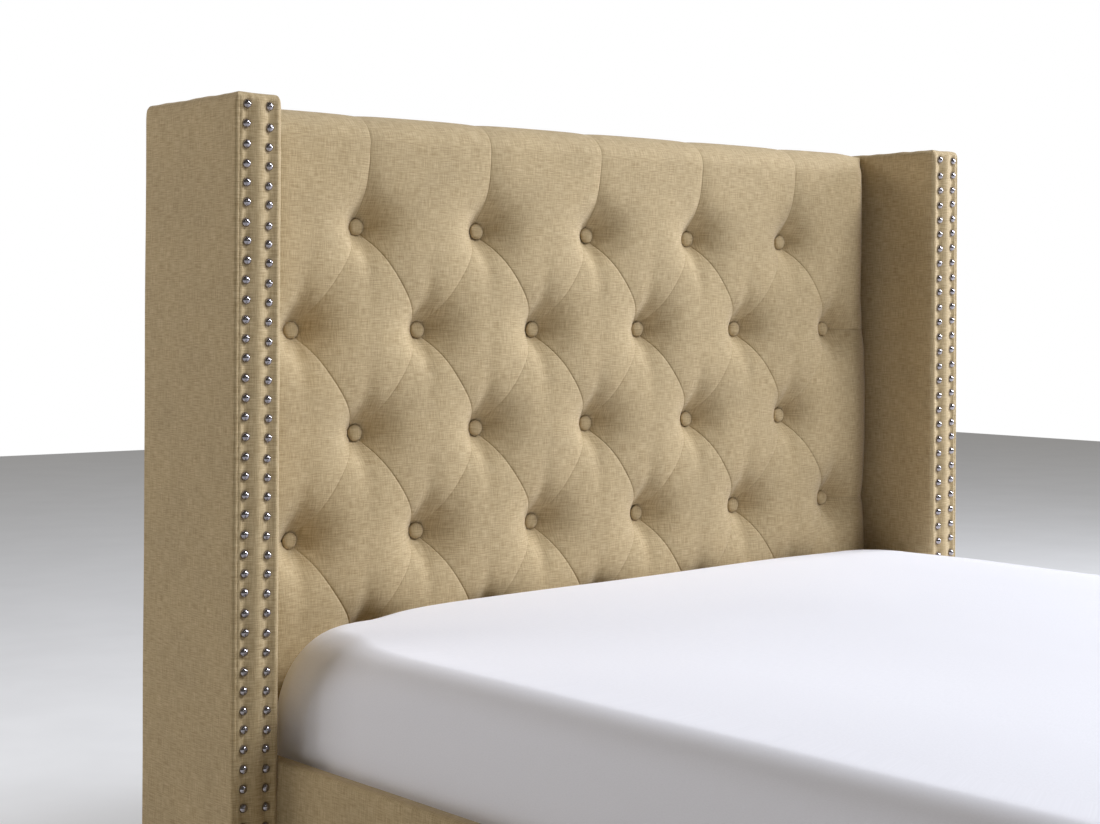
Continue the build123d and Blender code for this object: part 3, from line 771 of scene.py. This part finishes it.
def add_dome(places, faces, centre, radius, height, profile, facets, tilts, turn=0.0, wobble=0.0):
    """Add one dome that faces the foot of the bed, ring by ring from its rim to its tip."""
    x, y, z = centre
    base = len(places)
    for radius_share, height_share in profile:
        for i in range(facets):
            angle = turn + 2 * math.pi * i / facets
            reach = radius * radius_share * (1 + wobble * math.sin(BUTTON_LOBES * angle))
            dx = reach * math.cos(angle)
            dz = reach * math.sin(angle)
            places.append((x + dx, y - height * height_share - dx * tilts[0] - dz * tilts[1], z + dz))
    places.append((x, y - height, z))
    tip = len(places) - 1
    last = base + (len(profile) - 1) * facets
    for i in range(facets):
        j = (i + 1) % facets
        faces.append((last + i, last + j, tip))
        for a in range(base, last, facets):
            faces.append((a + i, a + j, a + facets + j, a + facets + i))
    faces.append(tuple(base + i for i in reversed(range(facets))))


def covered_buttons():
    """Covered buttons: low domes with a rolled rim, each a little tilted."""
    rng = np.random.default_rng(BUTTON_SEED)
    places = []
    faces = []
    for x, z in button_places():
        tilts = rng.uniform(-BUTTON_TILT, BUTTON_TILT, 2)
        turn = rng.uniform(0, 2 * math.pi)
        add_dome(places, faces, (x, BUTTON_Y - BUTTON_SUNK, z), BUTTON_RADIUS, BUTTON_HEIGHT,
                 BUTTON_PROFILE, BUTTON_FACETS, tilts, turn, BUTTON_WOBBLE)
    piece = mesh_piece("covered_buttons", places, faces, flat_map(places, faces, 0, 2))
    finish_piece(piece, linen_mat, "tuft_buttons")


# Wings

def nail_places(name, side):
    """Nailheads in two rows: distance from the wing's outer edge, and height."""
    rng = np.random.default_rng(NAIL_PLACE_SEEDS[side])
    low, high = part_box(f"{name}_wing_cover")
    width = high.x - low.x
    top = high.z - NAIL_TOP
    count = int((top - low.z - NAIL_FOOT) / NAIL_PITCH) + 1
    places = []
    for across, drop in ((NAIL_INSET, 0), (width - NAIL_INNER_INSET, INNER_ROW_DROP)):
        for i in range(count):
            jitter = rng.normal(0, NAIL_JITTER, 2)
            places.append((across + jitter[0], top - i * NAIL_PITCH - drop * min(i, 1) + jitter[1]))
    return places


def wing_front_rise(across, z, width, top, nails):
    """How far the front face stands proud: a full middle, grooves under the nails and a sewn edge."""
    rise = WING_BULGE * hill(across, width / 2, WING_BULGE_WIDTH)
    rise += WING_EDGE_ROLL * hill(across, width - WING_EDGE_INSET, WING_EDGE_WIDTH)
    rise += SEAM_ROLL * hill(across, SEAM_ROLL_INSET, SEAM_ROLL_WIDTH)
    rise *= 1 + FRONT_UNEVEN_SHARE * ripple(across, z, FRONT_UNEVEN_SIZE, seed=8)
    for row in (NAIL_INSET, width - NAIL_INNER_INSET):
        rise -= NAIL_GROOVE * hill(across, row, NAIL_GROOVE_WIDTH)
    stitches = 1 - STITCH_SHARE + STITCH_SHARE * np.cos(2 * math.pi * z / STITCH_PITCH)
    rise -= SEAM_DEPTH * hill(across, SEAM_INSET, SEAM_WIDTH) * stitches
    for nail_across, nail_z in nails:
        near = np.abs(z - nail_z) < NAIL_NEAR
        away = np.hypot(across[near] - nail_across, z[near] - nail_z)
        rise[near] -= NAIL_DIMPLE * hill(away, 0, NAIL_DIMPLE_REACH)
    return rise * np.clip((top - z) / FRONT_FADE, 0, 1)


def wing_side_rise(depth, z, ways, half_depth, top, side):
    """How far the flat sides stand proud: uneven cloth, a lip inside, a soft top and a seam at the back."""
    outside = np.clip(-ways[:, 0], 0, 1) ** 2
    inside = np.clip(ways[:, 0], 0, 1) ** 2
    rise = outside * PANEL_SWELL * (1 + ripple(depth, z, PANEL_SIZE, seed=31 + side))
    rise += inside * (INNER_UNEVEN * ripple(depth, z, INNER_SIZE, seed=41 + side) - INNER_SINK)
    lip_share = np.clip((depth + half_depth) / WING_LIP_REACH, 0, 1) ** WING_LIP_SHAPE
    rise += inside * WING_LIP * np.sin(math.pi * lip_share)
    near_top = np.clip(1 - (top - z) / WING_TOP_REACH, 0, 1) ** 2
    rise -= (inside + outside) * WING_TOP_SOFT * near_top
    return rise - BACK_SEAM * outside * hill(depth, half_depth - BACK_SEAM_INSET, BACK_SEAM_WIDTH)


def wing_levels(foot, top, half_width):
    """Height and inset of each ring, from the wing's foot to the middle of its top."""
    levels = [(foot + rise, inset) for rise, inset in WING_FOOT_RINGS]
    levels += [(z, 0) for z in np.arange(foot + WING_FOOT_ROUND, top - WING_TOP_ROUND, WING_STEP)]
    for degrees in range(0, 91, WING_TURN_STEP):
        angle = math.radians(degrees)
        level = top - WING_TOP_ROUND * (1 - math.sin(angle))
        levels.append((level, WING_TOP_ROUND * (1 - math.cos(angle))))
    for share in WING_TOP_SHARES:
        inset = WING_TOP_ROUND + share * (half_width - WING_TOP_ROUND)
        levels.append((top + WING_TOP_CROWN * share, inset))
    return np.array(levels)[:, :1], np.array(levels)[:, 1:]


def wing_upholstery(name, side):
    """The padded cover of one wing, in rings from its foot to its top."""
    low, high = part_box(f"{name}_wing_cover")
    outer = max(abs(low.x), abs(high.x))
    half_width = (high.x - low.x) / 2
    half_depth = (high.y - WING_FRONT) / 2
    shares, ways = ring_frame(half_width, half_depth, WING_CORNER, WING_SIDE_STEPS, WING_CORNER_STEPS)
    level, inset = wing_levels(low.z, high.z, half_width)
    z = level + np.zeros(len(shares))
    radius = np.maximum(WING_CORNER - inset, WING_LEAST_CORNER)
    across = shares[:, 0] * (half_width - inset - radius) + ways[:, 0] * radius + half_width
    depth = shares[:, 1] * (half_depth - inset - radius) + ways[:, 1] * radius
    front = np.clip(-ways[:, 1], 0, 1) ** 2
    nails = nail_places(name, side)
    rise = front * wing_front_rise(across, z, 2 * half_width, high.z - FRONT_END, nails)
    rise += wing_side_rise(depth, z, ways, half_depth, high.z, side)
    rise *= np.clip(1 - inset / WING_TOP_ROUND, 0, 1)
    across = across + ways[:, 0] * rise
    depth = depth + ways[:, 1] * rise
    near_top = z > high.z - TOP_UNEVEN_DEPTH
    z = z + TOP_UNEVEN * ripple(across, depth, TOP_UNEVEN_SIZE, seed=51 + side) * near_top
    rings = np.stack([side * (outer - across), (high.y + WING_FRONT) / 2 + depth, z], -1)
    lengths = outline_lengths(rings[len(rings) // 2])
    piece = tube_piece(f"{name}_wing_upholstery", rings, lengths, z[:, 0])
    finish_piece(piece, linen_mat, f"{name}_wing_cover")


def nailheads(name, side):
    """Domed heads, each tilted a little, seated in the groove of the front face."""
    rng = np.random.default_rng(NAIL_TILT_SEED + side)
    low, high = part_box(f"{name}_wing_cover")
    outer = max(abs(low.x), abs(high.x))
    places = []
    faces = []
    for across, z in nail_places(name, side):
        tilts = rng.normal(0, NAIL_TILT, 2)
        add_dome(places, faces, (side * (outer - across), WING_FRONT + NAIL_SUNK, z), NAIL_RADIUS,
                 NAIL_HEIGHT, NAIL_PROFILE, NAIL_FACETS, tilts)
    piece = mesh_piece(f"{name}_nailheads", places, faces)
    finish_piece(piece, pewter_mat, f"{name}_wing_nailheads")


# Rails, footboard and the headboard's plain covers

def sleeve(name, node, along, soft, corner, end_round):
    """A padded cover round a long board: a rounded section swept along one axis, soft at its ends."""
    low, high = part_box(node)
    axes = [axis for axis in range(3) if axis != along]
    half = [(high[axis] - low[axis]) / 2 for axis in axes]
    centre = [(high[axis] + low[axis]) / 2 for axis in axes]
    steps = (SLEEVE_STEP, SLEEVE_STEP / 2, SLEEVE_STEP, SLEEVE_STEP / 2)
    shares, ways = ring_frame(half[0], half[1], corner, steps, SLEEVE_CORNER_STEPS)
    ends = []
    for degrees in SLEEVE_END_ANGLES:
        angle = math.radians(degrees)
        ends.append((low[along] + end_round * (1 - math.sin(angle)), end_round * (1 - math.cos(angle))))
    straight = np.arange(low[along] + end_round, high[along] - end_round, SLEEVE_STEP)
    stations = ends + [(s, 0) for s in straight]
    stations += [(low[along] + high[along] - s, inset) for s, inset in reversed(ends)]
    place = np.array([s for s, inset in stations])[:, None] + np.zeros(len(shares))
    inset = np.array([inset for s, inset in stations])[:, None]
    a = shares[:, 0] * (half[0] - corner) + ways[:, 0] * (corner - inset)
    b = shares[:, 1] * (half[1] - corner) + ways[:, 1] * (corner - inset)
    swell = soft * np.cos(shares[:, 1] * math.pi / 2) ** SLEEVE_SWELL_SHAPE * np.abs(ways[:, 0])
    rise = swell + SLEEVE_UNEVEN * ripple(b + a, place, SLEEVE_UNEVEN_SIZE, seed=len(name))
    rise = np.where(inset > 0, 0, rise)
    rings = np.empty(place.shape + (3,))
    rings[..., along] = place
    rings[..., axes[0]] = centre[0] + a + ways[:, 0] * rise
    rings[..., axes[1]] = centre[1] + b + ways[:, 1] * rise
    piece = tube_piece(name, rings, outline_lengths(rings[len(rings) // 2]), place[:, 0])
    finish_piece(piece, linen_mat, node)


def hemmed_line(start, end):
    """Places along one side of the dust cover, out and back over both hems, and the layer of each."""
    places = np.linspace(start + DUST_EDGE, end - DUST_EDGE, round((end - start) / DUST_STEP))
    hem = np.linspace(DUST_HEM, 0, len(HEM_LAYERS) + 1)[:-1]
    line = np.concatenate([places[0] + hem, places, places[-1] - hem[::-1]])
    layer = np.concatenate([HEM_LAYERS, np.zeros(len(places)), HEM_LAYERS[::-1]])
    return line, layer


def dust_cover():
    """Black cloth over the headboard's back, its hems turned under."""
    low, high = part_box("headboard_back_cover")
    line_x, layer_x = hemmed_line(low.x, high.x)
    line_z, layer_z = hemmed_line(low.z, high.z)
    x, z = np.meshgrid(line_x, line_z)
    layer = np.add.outer(layer_z, layer_x)
    edge = np.minimum(np.minimum(x - low.x, high.x - x), np.minimum(z - low.z, high.z - z))
    pull = np.exp(-edge / STAPLE_REACH) * np.cos(2 * math.pi * (x + z) / STAPLE_PITCH)
    sag = (1 + ripple(x, z, DUST_SAG_SIZE, seed=71)) / 2 * np.clip(edge / DUST_SAG_EDGE, 0, 1)
    y = high.y - DUST_GAP - DUST_LAYER * layer + STAPLE_PULL * pull * (layer == 0) - DUST_SAG * sag
    rows, columns = x.shape
    index = np.arange(rows * columns).reshape(rows, columns)
    quads = np.stack([index[:-1, :-1], index[1:, :-1], index[1:, 1:], index[:-1, 1:]], -1).reshape(-1, 4)
    places = np.stack([x, y, z], -1).reshape(-1, 3)
    piece = mesh_piece("dust_cover", places, quads, places[quads.ravel()][:, [0, 2]])
    finish_piece(piece, dust_mat, "headboard_back_cover")


# Mattress and fitted sheet

def corner_share(shares, half_a, half_b, radius):
    """The share of its corner at each point of a ring, falling to 0 along the straight sides."""
    run_a = (1 - np.abs(shares[:, 0])) * (half_a - radius)
    run_b = (1 - np.abs(shares[:, 1])) * (half_b - radius)
    way_a = np.where(shares[:, 0] < 0, -1, 1)
    way_b = np.where(shares[:, 1] < 0, -1, 1)
    full = np.array([CORNER_SHARES[a, b] for a, b in zip(way_a, way_b)])
    return full * hill(np.maximum(run_a, run_b), 0, CORNER_REACH)


def bed_form(low, high, grown, end_inset):
    """Rings over a mattress, from the top's middle down its sides and in under it."""
    half_a = MATTRESS_WIDTH / 2 + grown
    half_b = (high.y - low.y) / 2
    radius = MATTRESS_CORNER + grown
    shares, ways = ring_frame(half_a, half_b, radius, BED_STEPS, BED_CORNER_STEPS)
    corner = corner_share(shares, half_a, half_b, radius)
    draw = TOP_DRAW + corner * CORNER_DRAW
    pinch = CORNER_PINCH * corner ** 2
    top = high.z - MATTRESS_CROWN
    side_top = top - TOP_DROP - corner * CORNER_DROP
    side_low = low.z + BOTTOM_DROP
    rings = []
    for inset in np.arange(half_a - TOP_STEP, TOP_DRAW, -TOP_STEP):
        span = np.clip((inset - draw) / CROWN_REACH, 0, 1)
        over = np.maximum(inset, draw + RING_GAP * (inset - TOP_DRAW) / half_a)
        rings.append((over, top + MATTRESS_CROWN * span * (2 - span)))
    for degrees in range(90, -1, -EDGE_TURN_STEP):
        angle = math.radians(degrees)
        inset = pinch * math.cos(angle) + draw * (1 - math.cos(angle))
        rings.append((inset, side_top + (top - side_top) * math.sin(angle)))
    for share in np.linspace(0, 1, SIDE_RINGS)[1:]:
        rings.append((pinch * (1 - share * share), side_top + share * (side_low - side_top)))
    for degrees in range(90 - FOOT_TURN_STEP, -1, -FOOT_TURN_STEP):
        angle = math.radians(degrees)
        rings.append((BOTTOM_DRAW * (1 - math.sin(angle)), low.z + BOTTOM_DROP * (1 - math.cos(angle))))
    for inset in np.arange(BOTTOM_DRAW + BOTTOM_FIRST, end_inset, BOTTOM_STEP):
        rings.append((inset, low.z))
    return {
        "shares": shares,
        "ways": ways,
        "insets": np.array([np.broadcast_to(inset, draw.shape) for inset, z in rings]),
        "heights": np.array([np.broadcast_to(z, draw.shape) for inset, z in rings]),
        "half": (half_a, half_b),
        "radius": radius,
        "centre_y": (high.y + low.y) / 2,
    }


def place_rings(form, rise):
    """Points of every ring of a bed form, pushed outwards by rise."""
    half_a, half_b = form["half"]
    shares, ways, insets = form["shares"], form["ways"], form["insets"]
    radius = np.maximum(form["radius"] * (1 - insets / half_a), LEAST_CORNER)
    x = shares[:, 0] * (half_a - insets - radius) + ways[:, 0] * (radius + rise)
    y = shares[:, 1] * (half_b - insets - radius) + ways[:, 1] * (radius + rise)
    return np.stack([x, form["centre_y"] + y, form["heights"]], -1)


def lean(placed, foot):
    """Let the top sink a little on one side, as a soft mattress does."""
    placed[..., 2] += SHEET_LEAN * placed[..., 0] * np.clip((placed[..., 2] - foot) / LEAN_HEIGHT, 0, 1)


def mattress_piece():
    """The mattress under its sheet, with a taped lower edge."""
    low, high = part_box("mattress")
    low += Vector((0, MATTRESS_CLEAR, MATTRESS_CLEAR / 2))
    high -= Vector((0, MATTRESS_CLEAR, MATTRESS_CLEAR))
    form = bed_form(low, high, -MATTRESS_CLEAR, MATTRESS_WIDTH / 2 - MATTRESS_CLEAR)
    up = form["heights"] - low.z
    rise = TAPE_RISE * hill(up, TAPE_HEIGHT, TAPE_WIDTH) - MATTRESS_SINK * np.clip(up / TAPE_HEIGHT, 0, 1)
    placed = place_rings(form, rise)
    lean(placed, low.z)
    lengths = outline_lengths(placed[len(placed) // 2])
    ups = outline_lengths(placed[:, 0])[:len(placed)]
    piece = tube_piece("mattress_body", placed[::-1], lengths, ups)
    finish_piece(piece, ticking_mat, "mattress", body="mattress")


def sheet_rise(form, base, top):
    """How far the sheet's hanging sides stand off the mattress: gathers, slack and a soft fold."""
    around = outline_lengths(base[len(base) // 2])[:-1]
    corner_gap = np.max((1 - np.abs(form["shares"])) * form["half"], axis=1)
    y, z = base[..., 1], base[..., 2]
    along = np.broadcast_to(around, z.shape)
    down = np.clip((top - SHEET_TIGHT - z) / SHEET_EASE, 0, 1)
    wave = np.sin(2 * math.pi * along / GATHER_PITCH)
    gathers = (wave + ripple(along, z * GATHER_STRETCH, GATHER_SIZE, seed=81)) / 2
    slack = ripple(along, z, SIDE_SLACK_SIZE, seed=82) / 2
    ahead = SIDE_FOLD_Y - y
    fold = np.where(ahead > 0, np.exp(-ahead / SIDE_FOLD_REACH), hill(ahead, 0, SIDE_FOLD_WIDTH))
    on_side = np.abs(form["ways"][:, 0]) > SIDE_WAY
    fold = SIDE_FOLD_DEPTH * fold * on_side * np.clip((z - SIDE_FOLD_FOOT) / SIDE_FOLD_FADE, 0, 1)
    gathered = GATHER_DEPTH * gathers * hill(corner_gap, 0, GATHER_REACH)
    hanging = form["insets"] < SHEET_TURN
    return np.maximum(down * (gathered + SIDE_SLACK * slack + fold) * hanging, -SHEET_SLIP)


def sheet_piece():
    """The fitted sheet: drawn over the mattress and in under it, with soft gathers at the corners."""
    low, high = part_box("fitted_sheet")
    top = high.z - MATTRESS_CROWN
    form = bed_form(low, high, SHEET_GROWTH, SHEET_TUCK)
    base = place_rings(form, 0)
    placed = place_rings(form, sheet_rise(form, base, top))
    flat = placed[..., 2] > top - SHEET_TURN
    lean(placed, low.z)
    out = form["half"][0] - form["insets"].mean(axis=1, keepdims=True) - SHEET_WAVE_START
    wave = ripple(placed[..., 0], placed[..., 1], SHEET_WAVE_SIZE, seed=83)
    placed[..., 2] += SHEET_WAVE * wave * np.clip(out / SHEET_WAVE_REACH, 0, 1) * flat
    lengths = outline_lengths(base[len(base) // 2])
    ups = outline_lengths(placed[:, 0])[:len(placed)]
    piece = tube_piece("fitted_sheet_cloth", placed[::-1], lengths, ups, caps=("last",))
    finish_piece(piece, sheet_mat, "fitted_sheet", body="mattress")


def webbing():
    """Two cotton straps that tie the slats from below and hang a little between them."""
    slats = [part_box(f"slat_{i + 1:02d}") for i in range(SLAT_COUNT)]
    edges = sorted([s[0].y for s in slats] + [s[1].y for s in slats])
    low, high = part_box("slat_webbing")
    ys = np.arange(low.y, high.y, WEBBING_STEP)
    sag = np.zeros_like(ys)
    for start, end in zip(edges[1:-1:2], edges[2::2]):
        share = np.clip((ys - start) / (end - start), 0, 1)
        sag = np.maximum(sag, WEBBING_SAG * np.sin(math.pi * share))
    places = []
    faces = []
    for way in (-1, 1):
        centre = way * (high.x - WEBBING_WIDTH / 2)
        base = len(places)
        for y, drop in zip(ys, sag):
            z = high.z - WEBBING_GAP - drop
            for dx, dz in ((-1, 0), (1, 0), (1, -1), (-1, -1)):
                places.append((centre + dx * WEBBING_WIDTH / 2, y, z + dz * WEBBING_THICKNESS))
        last = len(places) - 4
        for a in range(base, last, 4):
            for j in range(4):
                k = (j + 1) % 4
                faces.append((a + j, a + k, a + 4 + k, a + 4 + j))
        faces.append((base + 3, base + 2, base + 1, base))
        faces.append((last, last + 1, last + 2, last + 3))
    uv = flat_map(places, faces, 0, 1)
    piece = mesh_piece("slat_webbing_straps", places, faces, uv, smooth=False)
    finish_piece(piece, webbing_mat, "slat_webbing")


# Finishes of the rigid parts

def grained_finishes():
    """Pine and plywood with their grain along each axis, by name."""
    finishes = {}
    for number, axis in enumerate("xyz"):
        stretch = [ACROSS_GRAIN] * 3
        stretch[number] = ALONG_GRAIN
        finer = tuple(PLYWOOD_SHARE * s for s in stretch)
        finishes["pine_" + axis] = wood("pine_" + axis, PINE_LIGHT, PINE_DARK, tuple(stretch))
        finishes["plywood_" + axis] = wood("plywood_" + axis, PLYWOOD_LIGHT, PLYWOOD_DARK, finer, 0.65)
    return finishes


def finish_rigid_parts():
    """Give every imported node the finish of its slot, with wood grain along its longest side."""
    grained = grained_finishes()
    plain = {
        "dark_wood": wood("dark_wood", STAIN_LIGHT, STAIN_DARK, STAIN_GRAIN, 0.35),
        "black_steel": coated("black_steel", STEEL_COLOUR, 0.45),
        "zinc_steel": coated("zinc_steel", ZINC_COLOUR, 0.3, metallic=1.0),
        "black_plastic": coated("black_plastic", PLASTIC_COLOUR, 0.55),
        "linen": linen_mat,
        "linen_buttons": linen_mat,
        "dust_cover": dust_mat,
        "ticking": ticking_mat,
        "sheet_cotton": sheet_mat,
        "webbing": webbing_mat,
        "pewter": pewter_mat,
    }
    for name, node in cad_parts.items():
        slot = node.material_slots[0].material.name.split(".")[0]
        if slot in ("pine", "plywood"):
            low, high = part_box(name)
            longest = int(np.argmax([high[axis] - low[axis] for axis in range(3)]))
            node.material_slots[0].material = grained[slot + "_" + "xyz"[longest]]
        else:
            node.material_slots[0].material = plain[slot]


tufted_pad()
covered_buttons()
for name, side in SIDES:
    wing_upholstery(name, side)
    nailheads(name, side)
    sleeve(f"{name}_rail_sleeve", f"{name}_rail_cover", 1, 0.0016, 0.008, 0.004)
sleeve("footboard_upholstery", "footboard_cover", 0, 0.003, 0.014, 0.012)
sleeve("headboard_lower_upholstery", "headboard_lower_cover", 0, 0.001, 0.005, 0.003)
dust_cover()
mattress_piece()
sheet_piece()
webbing()
finish_rigid_parts()


# Light, floor and camera

def area_light(name, place, target, size, power, colour):
    data = bpy.data.lights.new(name, "AREA")
    data.shape = "RECTANGLE"
    data.size = size
    data.size_y = size
    data.energy = power
    data.color = colour
    lamp = bpy.data.objects.new(name, data)
    lamp.location = place
    lamp.rotation_euler = (Vector(target) - Vector(place)).to_track_quat("-Z", "Y").to_euler()
    bpy.context.scene.collection.objects.link(lamp)


def world_light():
    """A white background, which lights the bed only dimly and warmly."""
    world = bpy.data.worlds.new("studio")
    world.use_nodes = True
    tree = world.node_tree
    background = tree.nodes["Background"]
    seen = add(tree, "LightPath").outputs["Is Camera Ray"]
    tint = add(tree, "Mix", {"Factor": seen, 6: (*WORLD_TINT, 1), 7: (1, 1, 1, 1)}, data_type="RGBA")
    tree.links.new(tint.outputs[2], background.inputs["Color"])
    strength = add(tree, "Mix", {"Factor": seen, "A": WORLD_LIGHT, "B": 1.0}, data_type="FLOAT")
    tree.links.new(strength.outputs[0], background.inputs["Strength"])
    bpy.context.scene.world = world


def studio_floor():
    mat, tree, shader = material("floor", 0.6, Emission_Color=(1, 1, 1, 1), Emission_Strength=FLOOR_GLOW)
    place = add(tree, "TexCoord").outputs["Object"]
    tone = ramp(tree, noise(tree, place, (3, 3, 3)), NOISE_SPAN, FLOOR_TONES)
    grey = add(tree, "CombineColor", {"Red": tone, "Green": tone, "Blue": tone})
    tree.links.new(grey.outputs[0], shader.inputs["Base Color"])
    corners = [(a * FLOOR_REACH, b * FLOOR_REACH, 0) for a, b in ((-1, -1), (1, -1), (1, 1), (-1, 1))]
    floor = mesh_piece("floor", corners, [(0, 1, 2, 3)])
    floor.data.materials.append(mat)


def studio():
    bpy.context.scene.view_settings.view_transform = "Standard"
    world_light()
    for name, (place, target, size, power, colour) in LAMPS.items():
        area_light(name, place, target, size, power, colour)
    studio_floor()


def photo_camera():
    """The camera that took the picture, as fitted to the bed."""
    data = bpy.data.cameras.new("photo_camera")
    data.lens = data.sensor_width * FOCAL_PIXELS / PHOTO_WIDTH
    data.shift_y = (HORIZON_PIXEL - PHOTO_HEIGHT / 2) / PHOTO_WIDTH
    camera = bpy.data.objects.new("photo_camera", data)
    upright = Matrix.Rotation(-CAMERA_YAW, 4, "Z") @ Matrix.Rotation(math.pi / 2, 4, "X")
    camera.matrix_world = Matrix.Translation(CAMERA_PLACE) @ upright @ Matrix.Rotation(-CAMERA_ROLL, 4, "Z")
    bpy.context.scene.collection.objects.link(camera)
    bpy.context.scene.camera = camera


studio()
photo_camera()
